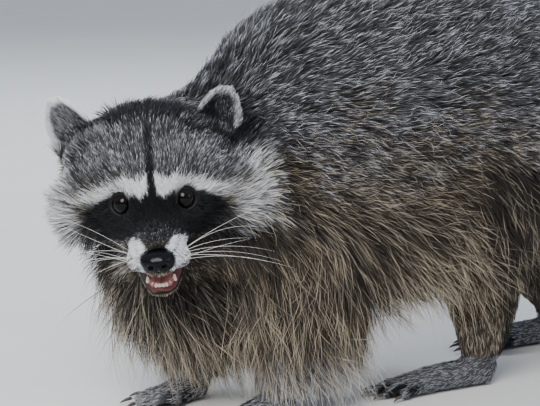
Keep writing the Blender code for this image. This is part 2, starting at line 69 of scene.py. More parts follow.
MM = 0.001
CHANCE = np.random.default_rng(20)
SKIN_VOXEL = 2.2
CAD_GAP = 0.45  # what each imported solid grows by, so that the cuts between them close

FLESH = [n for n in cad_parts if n.split("_")[0] not in ("eye", "nose", "tongue", "claw")]


# ---------------- small numerical helpers


def unit(rows):
    """Each row at length 1."""
    return rows / np.maximum(np.linalg.norm(rows, axis=-1, keepdims=True), 1e-12)


def dot(a, b):
    return np.sum(a * b, axis=-1)


def step(low, high, value):
    """0 at low, 1 at high, eased between them. Low may lie above high."""
    t = np.clip((value - low) / (high - low), 0, 1)
    return t * t * (3 - 2 * t)


def mixed(a, b, share):
    return a + (b - a) * share


def most(*values):
    """The greatest of several arrays at each place."""
    return np.maximum.reduce(values)


def ripple(place, size, seed):
    """A smooth wandering value between about -1 and 1, of that size in metres."""
    turned = np.random.default_rng(seed)
    total = np.zeros(len(place))
    for _ in range(5):
        way = unit(turned.normal(size=3)) * turned.uniform(0.6, 1.5) * math.tau / size
        total += np.sin(place @ way + turned.uniform(0, math.tau))
    return total / 2.6


def away_from(places, point):
    """Distance of each place from a point, in mm."""
    return np.linalg.norm(places - point, axis=1) / MM


# ---------------- the head's frame

SIDES = {"left": 1, "right": -1}
EYES_FORWARD, EYES_UP = 6.5, 6.0  # middle of the eyes in the head's frame, in mm
NOSE_FORWARD, NOSE_UP = 50.0, -23.0
NOSE_AT = (NOSE_FORWARD, 0, NOSE_UP)
MUZZLE, HAIR_PARTS_AT, CHIN, THROAT = (46, 0, -26), (40, 0, -20), (52, 0, -44), (-30, 0, -22)
FACE_MIDDLE, FACE_REACH = (40, 0, -22), 66  # what the face's own piece of the coat takes in
BARE_ROUND_EYE = 10.6  # how far the bare skin of the lids reaches, in mm
BARE_ROUND_NOSE = (9.9, 13.4, 9.1)
NOSE_RIM = (10.4, 14.0, 9.8)


def middle(node):
    low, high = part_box(node)
    return np.array((low + high) / 2)


def away_from_eyes(places):
    """Distance of each place from the middle of the nearer eye, in mm."""
    return np.min([away_from(places, middle("eye_" + side)) for side in SIDES], axis=0)


def head_axes():
    """The head's origin and its forward, left and up, found from the eyes and the nose."""
    eyes = (middle("eye_left") + middle("eye_right")) / 2
    left = unit(middle("eye_left") - middle("eye_right"))
    reach = middle("nose") - eyes
    reach -= left * dot(reach, left)
    ahead, down = NOSE_FORWARD - EYES_FORWARD, EYES_UP - NOSE_UP
    across = np.cross(left, reach)
    forward = unit(ahead * reach - down * across)
    up = unit(-down * reach - ahead * across)
    origin = eyes - (forward * EYES_FORWARD + up * EYES_UP) * MM
    return origin, np.array([forward, left, up])


HEAD_AT, HEAD_AXES = head_axes()


# Root and tip of the left and the right ear in the head's frame, in mm.
EARS = {1: ((-38, 42, 24), (-42, 61, 69)), -1: ((-38, 46, 24), (-42, 69, 72))}


def in_head(place):
    """Places in the head's frame, in mm: forward, left, up."""
    return (np.asarray(place) - HEAD_AT) @ HEAD_AXES.T / MM


def from_head(place):
    """The other way: mm in the head's frame to metres in the body's."""
    return np.asarray(place, float) * MM @ HEAD_AXES + HEAD_AT


def way_in_head(way):
    return np.asarray(way, float) @ HEAD_AXES


# ---------------- meshes


def mesh_of(name, places, faces):
    """A mesh from an array of places and a list of face arrays with 3 or 4 columns."""
    mesh = bpy.data.meshes.new(name)
    corners = np.concatenate([f.ravel() for f in faces])
    totals = np.concatenate([np.full(len(f), f.shape[1]) for f in faces])
    mesh.vertices.add(len(places))
    mesh.vertices.foreach_set("co", np.asarray(places, np.float32).ravel())
    mesh.loops.add(len(corners))
    mesh.loops.foreach_set("vertex_index", corners.astype(np.int32))
    mesh.polygons.add(len(totals))
    mesh.polygons.foreach_set("loop_start", (np.cumsum(totals) - totals).astype(np.int32))
    mesh.update(calc_edges=True)
    mesh.validate()
    mesh.shade_smooth()
    return mesh


def grid_faces(rows, start=0):
    """The quads of a grid of places whose last column joins its first."""
    high, wide = rows.shape[:2]
    index = np.arange(high * wide).reshape(high, wide) + start
    following = np.roll(index, -1, axis=1)
    return np.stack([index[:-1], following[:-1], following[1:], index[1:]], axis=-1).reshape(-1, 4)


def together(name, grids):
    """Several such grids of places as one mesh."""
    starts = np.cumsum([0] + [rows.size // 3 for rows in grids])
    faces = [grid_faces(rows, start) for rows, start in zip(grids, starts)]
    return mesh_of(name, np.concatenate([rows.reshape(-1, 3) for rows in grids]), faces)


def linked_object(name, mesh):
    made = bpy.data.objects.new(name, mesh)
    bpy.context.scene.collection.objects.link(made)
    return made


def placed(name, mesh, material, replaced=()):
    """An object of that mesh as a piece of the raccoon."""
    made = linked_object(name, mesh)
    mesh.materials.clear()
    mesh.materials.append(material)
    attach(made, "root")
    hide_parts(*replaced)
    return made


def read(items, key, kind, wide=1):
    """That value of every item of a mesh, in rows that wide."""
    found = np.empty(len(items) * wide, kind)
    items.foreach_get(key, found)
    return found.reshape(-1, wide) if wide > 1 else found


def applied(mesh, *modifiers):
    """The mesh after modifiers, each given as its kind and settings."""
    holder = linked_object("holder", mesh)
    for kind, settings in modifiers:
        made = holder.modifiers.new(kind, kind)
        for key, value in settings.items():
            setattr(made, key, value)
    bpy.context.view_layer.update()
    graph = bpy.context.evaluated_depsgraph_get()
    result = bpy.data.meshes.new_from_object(holder.evaluated_get(graph))
    bpy.data.objects.remove(holder)
    return result


def given(mesh, name, values):
    """Stores one value or one triple for each vertex under that name."""
    values = np.asarray(values, np.float32)
    kind, key = ("FLOAT", "value") if values.ndim == 1 else ("FLOAT_VECTOR", "vector")
    made = mesh.attributes.new(name, kind, "POINT")
    made.data.foreach_set(key, values.ravel())


# ---------------- the skin


def joined(name, nodes, grown=0.0):
    """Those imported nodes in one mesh, each with its corners joined and grown by that many mm."""
    whole = bmesh.new()
    for node in nodes:
        part = bmesh.new()
        part.from_mesh(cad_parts[node].data)
        bmesh.ops.remove_doubles(part, verts=part.verts, dist=1e-5)
        bmesh.ops.recalc_face_normals(part, faces=part.faces)
        part.normal_update()
        for vertex in part.verts:
            vertex.co += vertex.normal * grown * MM
        mesh = bpy.data.meshes.new(node)
        part.to_mesh(mesh)
        part.free()
        whole.from_mesh(mesh)
    mesh = bpy.data.meshes.new(name)
    whole.to_mesh(mesh)
    whole.free()
    return mesh


def nearest_nodes(places):
    """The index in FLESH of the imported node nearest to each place."""
    corners, triangles, owners = [], [], []
    for index, node in enumerate(FLESH):
        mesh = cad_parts[node].data
        start = len(corners)
        corners.extend(v.co.copy() for v in mesh.vertices)
        for polygon in mesh.polygons:
            triangles.append([start + v for v in polygon.vertices])
            owners.append(index)
    tree = BVHTree.FromPolygons(corners, triangles)
    return np.array([owners[tree.find_nearest(p)[2]] for p in places])


class Surface:
    """A closed surface as arrays, with values eased over it."""

    def __init__(self, mesh):
        mesh.calc_loop_triangles()
        self.mesh = mesh
        self.places = read(mesh.vertices, "co", np.float32, 3).astype(float)
        self.edges = read(mesh.edges, "vertices", np.int32, 2)
        self.triangles = read(mesh.loop_triangles, "vertices", np.int32, 3)
        self.count = np.bincount(self.edges.ravel(), minlength=len(self.places))

    def around(self, values):
        """For each vertex, the mean of its neighbours."""
        a, b = self.edges.T
        n = len(self.places)
        rows = values.reshape(n, -1)
        total = np.stack([
            np.bincount(a, rows[b, k], n) + np.bincount(b, rows[a, k], n) for k in range(rows.shape[1])
        ], axis=1)
        return (total / self.count[:, None]).reshape(values.shape)

    def eased(self, values, rounds):
        for _ in range(rounds):
            values = mixed(values, self.around(values), 0.6)
        return values

    def normals(self):
        a, b, c = (self.places[self.triangles[:, k]] for k in range(3))
        facing = np.cross(b - a, c - a)
        total = np.zeros_like(self.places)
        for k in range(3):
            for axis in range(3):
                total[:, axis] += np.bincount(self.triangles[:, k], facing[:, axis], len(self.places))
        return unit(total)


# What the coat is like on each part: how deep it is over the skin, how long its tufts are, how far they
# stand up as a share of the depth, how wide a tuft is, how far tufts draw together into locks, and how far
# they wander sideways, the size of a lock, and the share of long stray hairs.
COAT = {
    "head": (4.5, 11, 0.95, 0.75, 0.30, 0.06, 5, 0),
    "jaw": (1.6, 7, 0.90, 0.60, 0.30, 0.08, 4, 0),
    "ear": (0.9, 5.6, 1.50, 0.38, 0.10, 0.09, 4, 0),
    "neck": (10, 21, 0.85, 0.85, 0.30, 0.08, 8, 0.02),
    "trunk": (10, 18, 0.92, 0.64, 0.30, 0.08, 7, 0.09),
    "foreleg": (8, 28, 0.95, 0.58, 0.50, 0.12, 10, 0.18),
    "forepaw": (1.5, 6.5, 1.0, 0.50, 0.15, 0.08, 4, 0),
    "thigh": (10, 29, 0.85, 0.60, 0.50, 0.10, 11, 0.11),
    "shank": (5, 17, 0.85, 0.75, 0.40, 0.08, 8, 0.05),
    "hindfoot": (1.6, 6, 1.0, 0.50, 0.15, 0.08, 4, 0),
    "tail": (13, 33, 0.90, 1.10, 0.35, 0.08, 10, 0.02),
}
COAT_VALUES = ("depth", "length", "stand", "width", "draw", "wander", "lock", "stray")


def face_height(head):
    """Height on the face, measured square to a line 25 degrees above its forward axis."""
    return 0.906 * head[:, 2] - 0.423 * head[:, 0]


def kinds_of(nodes):
    return np.array([n.split("_")[0] for n in FLESH])[nodes]


def parts_by_vertex(surface, nodes):
    """How far each vertex belongs to each kind of part, from 0 to 1, eased across the borders."""
    kinds = kinds_of(nodes)
    names = np.array(FLESH)[nodes]
    rounds = {"head": 16, "jaw": 3, "ear": 3, "trunk": 16, "neck": 16, "foreleg": 12, "thigh": 12, "tail": 10}
    parts = {kind: surface.eased((kinds == kind) * 1.0, rounds.get(kind, 8)) for kind in set(kinds)}
    parts["face"] = surface.eased(np.isin(kinds, ("head", "jaw", "ear")) * 1.0, 16)
    parts["feet"] = surface.eased(np.isin(kinds, ("forepaw", "hindfoot")) * 1.0, 10)
    for name in ("ear_left", "ear_right"):
        parts[name] = surface.eased((names == name) * 1.0, 3)
    return parts


def ear_place(side, place):
    forward, left, up = place
    return from_head((forward, side * left, up))


def in_ear(places, side):
    """Up, across and off the plate of an ear, in mm."""
    root, tip = (ear_place(side, place) for place in EARS[side])
    rise = unit(tip - root)
    across = unit(np.cross(rise, way_in_head((1, side * 0.55, 0.05))))
    away = places - root
    return tuple(dot(away, axis) / MM for axis in (rise, across, np.cross(across, rise)))


def ear_share(places, side):
    """1 on an ear and 0 away from it."""
    up, across, off = in_ear(places, side)
    inner = np.where(-side * across > 0, 9 * (1 - np.clip(up / 40, 0, 1)), 0)
    return step(4, 12, up) * step(25, 21, np.abs(across) - inner) * step(9, 5, off) * step(-17, -12, off)


def coat_by_vertex(surface, nodes, parts):
    """The coat's values at each vertex, eased from part to part, with the face's and belly's own."""
    kinds = [COAT[node.split("_")[0]] for node in FLESH]
    rows = surface.eased(np.array(kinds, float)[nodes], 14)
    coat = {name: rows[:, k] for k, name in enumerate(COAT_VALUES)}

    def toward(where, **values):
        for name, value in values.items():
            coat[name] = mixed(coat[name], value, where)

    def times(where, **shares):
        for name, share in shares.items():
            coat[name] = coat[name] * mixed(1, share, where)

    def more(where, share, **amounts):
        for name, amount in amounts.items():
            coat[name] = coat[name] + amount * where * share

    on_head = surface.eased(np.isin(kinds_of(nodes), ("head", "jaw")) * 1.0, 6)
    head = in_head(surface.places)
    out, z = np.abs(head[:, 1]), surface.places[:, 2]
    height = face_height(head)
    # The face: barely any depth round the muzzle and eyes, then deeper to the cheeks and crown.
    back = np.linalg.norm(head - MUZZLE, axis=1)
    far = step(28, 115, back)
    toward(on_head, depth=mixed(1.2, 7.5, far), length=mixed(3.6, 13.0, far))
    toward(on_head, width=mixed(0.36, 0.58, far), lock=mixed(3, 6, far))
    toward(on_head, draw=mixed(0.05, 0.35, step(40, 110, back)))
    ruff = step(36, 60, out) * step(32, 12, height) * on_head
    jowl = step(26, 44, out) * step(-8, -26, height) * step(24, 0, head[:, 0]) * on_head
    more(ruff, 1, length=8, stand=0.75, draw=0.15, stray=0.03)
    more(jowl, 1, length=15, stand=0.60, draw=0.10, stray=0.05)
    close = np.where(head[:, 1] > 0, 0.6, 0.95)
    times(step(46, 58, out) * step(26, 38, height) * on_head, stand=close)
    times(on_head, depth=step(8.5, 14, away_from_eyes(surface.places)))
    times(on_head, depth=step(12.5, 18, np.linalg.norm(head - NOSE_AT, axis=1)))
    # The ears: short velvet, and short fur round their roots.
    for side in (-1, 1):
        ear = ear_share(surface.places, side)
        toward(ear, **dict(zip(COAT_VALUES, COAT["ear"])))
        near = step(38, 20, away_from(surface.places, ear_place(side, (-34, 47, 36))))
        times(near * (1 - ear), length=0.75, stand=0.7)
    # Long hair hangs from the chest, belly and elbows, and short hair covers the ankles and wrists.
    low, trunk = step(0.195, 0.125, z) * (1 - on_head), np.minimum(parts["trunk"] + parts["neck"], 1)
    more(low, trunk, depth=6.5, length=27, width=0.05, draw=0.30, lock=4, stray=0.24)
    more(step(0.03, 0.05, z) * step(0.15, 0.10, z) * parts["foreleg"], 1, length=9)
    more(step(0.026, 0.050, z), parts["feet"], length=6)
    slim = np.clip(step(0.080, 0.035, z) * parts["shank"] + step(0.050, 0.030, z) * parts["foreleg"], 0, 1)
    times(slim, length=0.62, depth=0.55, lock=0.6, draw=0.7, stray=0)
    return coat


def tail_line():
    """Points along the middle of the tail, from its root to its tip."""
    _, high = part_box("tail_tip")
    centres = [middle("tail_" + part) for part in ("base", "middle", "tip")]
    base_low, base_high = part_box("tail_base")
    root = np.array([base_low[0], centres[0][1] - 0.002, base_high[2] - 0.04])
    end = np.array([high[0], high[1] - 0.02, centres[2][2] - 0.006])
    return np.array([root, *centres, end])


def along_tail(places):
    """How far along the tail each place is, from 0 to 1, and the tail's heading there."""
    line = tail_line()
    spans = np.diff(line, axis=0)
    lengths = np.linalg.norm(spans, axis=1)
    starts = np.concatenate([[0], np.cumsum(lengths)[:-1]])
    away = places[:, None] - line[:-1]
    t = np.clip(dot(away, spans) / lengths**2, 0, 1)
    best = np.linalg.norm(away - t[..., None] * spans, axis=2).argmin(axis=1)
    along = (starts + t * lengths)[np.arange(len(places)), best]
    return along / lengths.sum(), unit(spans)[best]


def lie_of_coat(surface, nodes, normals):
    """The way the tufts lie at each vertex, along the surface."""
    places = surface.places
    ways = np.zeros_like(places)
    kinds = kinds_of(nodes)
    head = in_head(places)

    rise = np.where(places[:, 2] > 0.23, 4.2, 6.5) * (places[:, 2] - 0.225)
    ways[:] = unit(np.stack([np.ones(len(places)), 0 * rise, np.clip(rise, -1.5, 0.5)], axis=1))
    from_throat = unit(places - from_head(THROAT)) + [0.12, 0, -0.42]
    near = (kinds == "neck") | (kinds == "trunk")
    chest = step(-0.14, -0.21, places[:, 0]) * near
    ways = mixed(ways, from_throat, chest[:, None])
    jowl = step(24, 50, np.abs(head[:, 1])) * step(0, -30, head[:, 2])
    radial = unit(unit(head - HAIR_PARTS_AT) + jowl[:, None] * [0.25, 0, -0.85]) @ HEAD_AXES
    chin = (unit(head - CHIN) + [0, 0, -0.6]) @ HEAD_AXES
    for kind, way in (("head", radial), ("jaw", chin), ("tail", along_tail(places)[1])):
        ways[kinds == kind] = way[kinds == kind]
    for side in (-1, 1):
        root, tip = (ear_place(side, place) for place in EARS[side])
        rise = unit(tip - root) + way_in_head((0, side * 0.25, 0))
        ways = mixed(ways, rise, (ear_share(places, side) > 0.5)[:, None] * 1.0)
    for kind, way in (
        ("foreleg", (0.30, 0, -1)),
        ("thigh", (0.45, 0, -1)),
        ("shank", (0.25, 0, -1)),
        ("forepaw", (-1, 0, -0.15)),
        ("hindfoot", (-1, 0, -0.15)),
    ):
        ways[kinds == kind] = way
    for _ in range(3):
        ways = surface.eased(unit(ways), 8)
        ways -= normals * dot(ways, normals)[:, None]
    ways = unit(ways)
    for side in SIDES:
        eye_at = middle("eye_" + side)
        ways = mixed(ways, unit(places - eye_at), step(19, 12, away_from(places, eye_at))[:, None])
    ways -= normals * dot(ways, normals)[:, None]
    return unit(ways)


# ---------------- markings

# Half of the face's pattern: distance out from the midline, then height, both in mm.
MASK_TOP = ((0, 5, 9, 16, 24, 33, 43, 50, 56), (11, 7, 5, 7.5, 9.5, 8.5, 4, -1, -8))
MASK_BOTTOM = ((0, 7, 11, 16, 22, 28, 35, 42, 49, 56), (-12, -16, -20, -22, -24, -24.5, -21, -15.5, -11, -8))
BROW_TOP = ((0, 3, 12, 20, 32, 46, 58, 70), (26, 22, 19, 20.5, 17.5, 15, 13, 8))
TEMPLE = ((54, 42), (66, 16))  # a dark band from the ear's outer root down to the cheek
CHEEK = ((66, 16), (61, -2))
PATCH_OUT, PATCH_HEIGHT = 16.0, -39  # middle of the pale patch beside the nose
PATCH_HALF_WIDTH, PATCH_HALF_HEIGHT = 9.5, 15.0
MASK_END = (53, -2)  # where the mask fades to brown on the cheek
WHISKER_ROWS = (4.6, 4.2)  # how far apart the dark spots at the whiskers' roots are
TAIL_RINGS = 6.5
EAR_HALF_WIDTH = 20
# How dark and how grey the left and right ears are inside, and how pale their rims are. The left ear is
# darker inside than the right by painted shade.
EAR_SHADE = {1: (0.80, 0.0, 0.56), -1: (0.30, 0.24, 0.92)}


def between_edges(out, height, top, bottom, soft, soft_top):
    """1 between two edges drawn as lines over out, each fading over its own softness in mm."""
    above = np.interp(out, *top) - height
    below = height - np.interp(out, *bottom)
    return step(-soft_top, soft_top, above) * step(-soft, soft, below)


def band(out, height, ends, width):
    """1 on the line between two ends on the face, fading away from it over that width in mm."""
    start, end = (np.array(e, float) for e in ends)
    span = end - start
    rows = np.stack([out, height], axis=1) - start
    share = np.clip(rows @ span / (span @ span), 0, 1)
    return np.exp(-((np.linalg.norm(rows - share[:, None] * span, axis=1) / width) ** 2))


def ear_marks(places, face):
    """How pale the ears are, how dark they are inside with painted shade in the left one, and the painted
    shadow on the neck behind them.
    """
    pale, dark, neck_shade_behind_ears = np.zeros((3, len(places)))
    for side in (-1, 1):
        inner_dark_and_shade, inner_grey, rim_pale = EAR_SHADE[side]
        share = ear_share(places, side)
        up, across, off = in_ear(places, side)
        ear_height = np.linalg.norm(np.subtract(*EARS[side])) - 1.5
        v = np.clip(up / ear_height, 0, 0.985)
        half = EAR_HALF_WIDTH * (0.95 + 0.08 * v) * np.sqrt(1 - v**3.2)
        inset = np.minimum(half - np.abs(across), ear_height - up)
        rim = step(2.4 + 4.2 * v, 0.2, inset) * step(-7, -4, inset)
        rim *= np.where(-side * across > 0, step(24, 36, up), step(12, 26, up))
        inside = share * (1 - rim) * (off > -6)
        pale = np.maximum(pale, share * rim * rim_pale)
        pale = np.maximum(pale, inner_grey * inside)
        dark += inner_dark_and_shade * inside
        behind = share * step(-4, -7, off) * step(42, 32, up)
        root = step(20, 7, away_from(places, ear_place(side, (-40, 32, 38))))
        dark = np.maximum(dark, np.maximum(0.8 * behind, root * (1 - rim * share)) * face)
        # Painted shadow of the head on the neck behind each ear, stronger behind the left ear.
        nape = step(36, 14, away_from(places, ear_place(side, (-60, 64, 26))))
        neck_shade_behind_ears += (0.75 if side > 0 else 0.3) * nape
    return pale, dark, neck_shade_behind_ears


def face_marks(places, head, parts):
    """Dark, pale and warm on the head, the warmth that its pale places and its sides keep, and the jowl."""
    height = face_height(head) + 1.0 * ripple(places, 0.007, 3)
    side = head[:, 1] + 0.8 * ripple(places, 0.006, 4)
    out = np.abs(side)
    face = parts["face"]

    def rise(low, high):
        return step(low, high, height)

    def outward(low, high):
        return step(low, high, out)

    def ahead(low, high):
        return step(low, high, head[:, 0])

    front = step(0.3, 0.7, face) * ahead(-50, -30)
    beside = np.maximum(face, ahead(-75, -60) * outward(96, 76))

    mask = between_edges(out, height, MASK_TOP, MASK_BOTTOM, 1.6, 1.6) * outward(56, 50) * front
    bridge = step(9.0, 6.5, out + 0.05 * (height + 20)) * rise(-44, -36) * rise(12, 6) * front
    bridge *= mixed(0.78, 0.50, rise(-15, -32))
    stripe = step(4.2, 0.6, out - 0.03 * height) * rise(2, 8) * rise(84, 44) * face
    stripe *= mixed(1, 0.62, rise(20, 40))
    crown = 0.80 * step(16, 50, height + 0.2 * out) * ahead(-14, -40) * outward(64, 48) * face
    halo = step(-8, 3, np.interp(out, *MASK_TOP) - height) * rise(-42, -14) * outward(74, 50) * front
    temple = 0.50 * band(out, height, TEMPLE, 3.2) * beside + 0.30 * band(out, height, CHEEK, 4.5) * beside
    # Painted light: on the right side the dark temple band is faded to a quarter.
    temple *= np.where(side < 0, 0.25, 1)
    mask_end = 0.75 * np.exp(-(((out - MASK_END[0]) / 7) ** 2) - ((height - MASK_END[1]) / 8) ** 2) * beside
    jowl = outward(28, 42) * rise(-20, -34) * face

    brow = between_edges(out, height, BROW_TOP, MASK_TOP, 2.6, 5.0) * outward(2.0, 4.2) * face
    brow *= mixed(1, 0.66, outward(30, 56))
    forehead = 0.21 * rise(12, 20) * rise(60, 40) * outward(60, 46) * face
    patch = 1 - np.hypot((out - PATCH_OUT) / PATCH_HALF_WIDTH, (height - PATCH_HEIGHT) / PATCH_HALF_HEIGHT)
    patch = step(-0.12, 0.14, patch) * front * ahead(0, 14)
    rows = np.sin((height + 0.25 * out) * math.tau / WHISKER_ROWS[0])
    rows *= np.sin((head[:, 0] + 0.3 * height) * math.tau / WHISKER_ROWS[1])
    spots = step(0.45, 0.70, rows) * outward(9, 13) * rise(-30, -36) * rise(-52, -46)
    patch *= 1 - 0.60 * spots
    # Painted shade: the pale patch greys towards its lower outer edge.
    patch *= mixed(1, 0.42, step(0, 11, 0.6 * (out - PATCH_OUT) - 0.8 * (height - PATCH_HEIGHT)))
    patch *= mixed(0.60, 1, step(-0.6, 0.4, ripple(places, 0.004, 21)))
    lips = 0.5 * rise(-44, -50) * outward(24, 17) * ahead(12, 20) * front
    # Painted light: on the right temple the pale edge is paler and reaches higher.
    high = (side < 0) * rise(6, 18)
    edge = mixed(0.58, 0.72, high) * outward(52, 66) * step(mixed(56, 68, high), 18, height)
    edge *= rise(-42, -12) * beside
    under = 0.14 * rise(-24, -36) * face * (1 - halo)
    low_cheek = 0.42 * step(-14, -28, side) * rise(-16, -28) * front
    chin = 0.36 * parts["jaw"] * ahead(0, 22)

    ear_pale, ear_dark_and_shade, neck_shade_behind_ears = ear_marks(places, face)
    pale = most(brow, forehead, patch, lips, edge, under, low_cheek, chin, ear_pale)
    pale *= 1 - most(mask, stripe, temple, mask_end)
    dark = [mask, bridge, stripe, 0.7 * ear_dark_and_shade, neck_shade_behind_ears, temple, crown, 0.5 * halo, 0.20 * jowl]
    warm = [0.6 * halo * (1 - mask), 1.7 * bridge * rise(-22, -32), 1.1 * mask_end]
    cool = 1 - np.maximum(step(0.1, 0.4, patch), 0.8 * low_cheek)
    chest_warmth = mixed(1, 0.35, face * rise(-34, -16))
    return most(*dark), pale, most(*warm), cool, chest_warmth, jowl


def markings(places, parts):
    """Dark, pale and warm at each place, each from 0 to 1."""
    x, y, z = places.T
    dark, pale, face_warm, cool, chest_warmth, jowl = face_marks(places, in_head(places), parts)
    low = step(0.305, 0.140, z - 0.10 * np.clip(x, -0.1, 0.2) + 0.022 * ripple(places, 0.07, 7))
    low *= mixed(1, 0.88, step(-0.19, -0.25, x))
    low = np.maximum(low, 0.85 * (step(0.235, 0.190, z) * step(-0.15, -0.20, x)))
    tail, _ = along_tail(places)
    rings = step(-0.25, 0.25, np.sin(tail * TAIL_RINGS * math.tau - 1.2)) * step(0.04, 0.12, tail)
    rings = np.maximum(rings, step(0.9, 0.94, tail)) * parts["tail"]
    light_rings = 0.34 * (1 - rings) * step(0.06, 0.14, tail) * parts["tail"]
    nape = 0.40 * step(0.20, 0.25, z) * parts["neck"]
    shin = step(0.085, 0.045, z) * parts["shank"]
    heel = shin * step(0.004, 0.012, x - np.where(y < 0, -0.018, 0.118))
    # The chest's pale frill, made paler towards the throat as painted light where shade falls.
    frill_and_throat_light = mixed(0.24, 0.44, step(-0.26, -0.32, x)) * step(-0.17, -0.24, x)
    frill_and_throat_light *= step(0.19, 0.13, z) * (1 - parts["face"])
    cuff = 0.38 * step(0.085, 0.035, z) * parts["foreleg"]
    # Painted shade darkens the creases between the toes.
    toes = 0.8 * toe_crease_shade(places) * parts["feet"]
    warm = low * (1 - parts["feet"]) * (1 - parts["tail"] * 0.4) * chest_warmth
    warm = np.maximum(np.maximum(warm, face_warm) * cool, 0.60 * jowl) * (1 - 1.5 * cuff)
    dark = most(dark, 0.9 * rings, nape, 0.75 * heel, toes)
    pale = most(pale, 0.30 * shin * (1 - heel), frill_and_throat_light, cuff, light_rings)
    return np.stack([dark, pale, warm], axis=1)


def toe_crease_shade(places):
    """1 in the creases between the toes, where shade is painted, and 0 on them and away from the feet."""
    gap, near = np.full((2, len(places)), 1e3)
    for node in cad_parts:
        if node.startswith("claw_"):
            claw, foot = middle(node)[:2], middle(node[len("claw_"):-len("_1")])[:2]
            line = unit(foot - claw)
            away = places[:, :2] - claw
            gap = np.minimum(gap, np.abs(away[:, 0] * line[1] - away[:, 1] * line[0]) / MM)
            near = np.minimum(near, away_from(places[:, :2], claw))
    return step(1.6, 2.8, gap) * step(26, 18, near)


def scattered(marks, chance):
    """Markings taken hair by hair: a half-dark patch has some dark hairs among the others."""
    share = marks + (chance - 0.5) * (1 - np.abs(2 * marks - 1))
    return step(0.22, 0.78, share)


# ---------------- building the skin

EYE_RADIUS = 9.1
EYE_LOOK = (1, 0.16, 0.10)  # where the left eye looks in the head's frame
LID_OPENING = 61  # half the angle that the lids leave open, in degrees
SOLE_BAND, SOLE_LIFT = 0.0006, 0.0004  # skin this near the floor is flattened at this height


def eye_axes(name):
    """The middle of an eye, where it looks, and its outer and upper directions."""
    side = SIDES[name]
    look = unit(way_in_head((EYE_LOOK[0], side * EYE_LOOK[1], EYE_LOOK[2])))
    outer = unit(HEAD_AXES[1] * side - look * dot(look, HEAD_AXES[1] * side))
    above = unit(HEAD_AXES[2] - look * dot(look, HEAD_AXES[2]))
    return middle("eye_" + name), look, outer, above


def behind_eyes(places):
    """The skin's places, drawn back inside the eyeballs where the lids stand open."""
    for name in SIDES:
        centre, look, _, _ = eye_axes(name)
        away = places - centre
        far = np.linalg.norm(away, axis=1)
        angle = np.degrees(np.arccos(np.clip(dot(away, look) / np.maximum(far, 1e-9), -1, 1)))
        share = step(LID_OPENING + 24, LID_OPENING + 8, angle) * (far < 16 * MM)
        allowed = np.minimum(far, (EYE_RADIUS - 0.9) * MM)
        places = centre + away * (mixed(far, allowed, share) / np.maximum(far, 1e-9))[:, None]
    return places


def raccoon_surface():
    """The coat's outer surface, the skin under it, and what the coat is like at each vertex."""
    mesh = applied(
        joined("flesh", FLESH, CAD_GAP),
        ("REMESH", {"mode": "VOXEL", "voxel_size": SKIN_VOXEL * MM}),
        ("SMOOTH", {"factor": 0.5, "iterations": 3}),
    )
    surface = Surface(mesh)
    nodes = nearest_nodes(surface.places)
    parts = parts_by_vertex(surface, nodes)
    outward = unit(surface.eased(surface.normals(), 2))
    coat = coat_by_vertex(surface, nodes, parts)
    outer = surface.places
    inner = outer - outward * (surface.eased(coat["depth"], 4) * MM)[:, None]
    surface.places = mixed(inner, surface.around(inner), 0.5)
    surface.places = behind_eyes(surface.places)
    lowest = outer[:, 2].min()
    surface.places[surface.places[:, 2] < lowest + SOLE_BAND, 2] = lowest + SOLE_LIFT
    mesh.vertices.foreach_set("co", surface.places.astype(np.float32).ravel())
    mesh.update()
    return surface, nodes, parts, coat


def bare(places, normals, nodes):
    """Where no tufts grow: the eyes, lips, mouth and soles."""
    head = in_head(places)
    facing = normals @ HEAD_AXES.T
    kinds = kinds_of(nodes)
    near_eye = away_from_eyes(places) < BARE_ROUND_EYE
    near_nose = np.linalg.norm((head - NOSE_AT) / BARE_ROUND_NOSE, axis=1) < 1
    mouth = (head[:, 2] < -33) & (np.abs(head[:, 1]) < 24) & (head[:, 0] > -8)
    floor_of_mouth = mouth & (kinds == "jaw") & (facing[:, 2] > -0.42)
    roof_of_mouth = mouth & (kinds == "head") & (facing[:, 2] < -0.45)
    sole = (places[:, 2] < 0.004) & (normals[:, 2] < -0.2)
    return near_eye | near_nose | floor_of_mouth | roof_of_mouth | sole


# ---------------- tufts

# The coat's pieces: how many tufts each has and into how many lengths a tuft is cut.
COAT_PIECES = {
    "coat_face": (38500, 3),
    "coat_head": (39000, 3),
    "coat_neck": (16000, 4),
    "coat_back": (37000, 3),
    "coat_flank_left": (33000, 3),
    "coat_flank_right": (19000, 3),
    "coat_underside": (20000, 5),
    "coat_forelegs": (17000, 4),
    "coat_hindlegs": (17500, 4),
    "coat_feet": (15000, 3),
    "coat_tail": (12500, 4),
}
PATCH = 0.003  # side of a tuft's patch on the baked map
ROOT_DEPTH = 0.0004  # how deep in the skin a tuft is rooted
# How far the coat's tips may reach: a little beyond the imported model, and never into the floor.
COAT_LIMITS = np.array(cad_bounds) + np.array([[-1], [1]]) * 11 * MM
COAT_LIMITS[0, 2] = 0.2 * MM


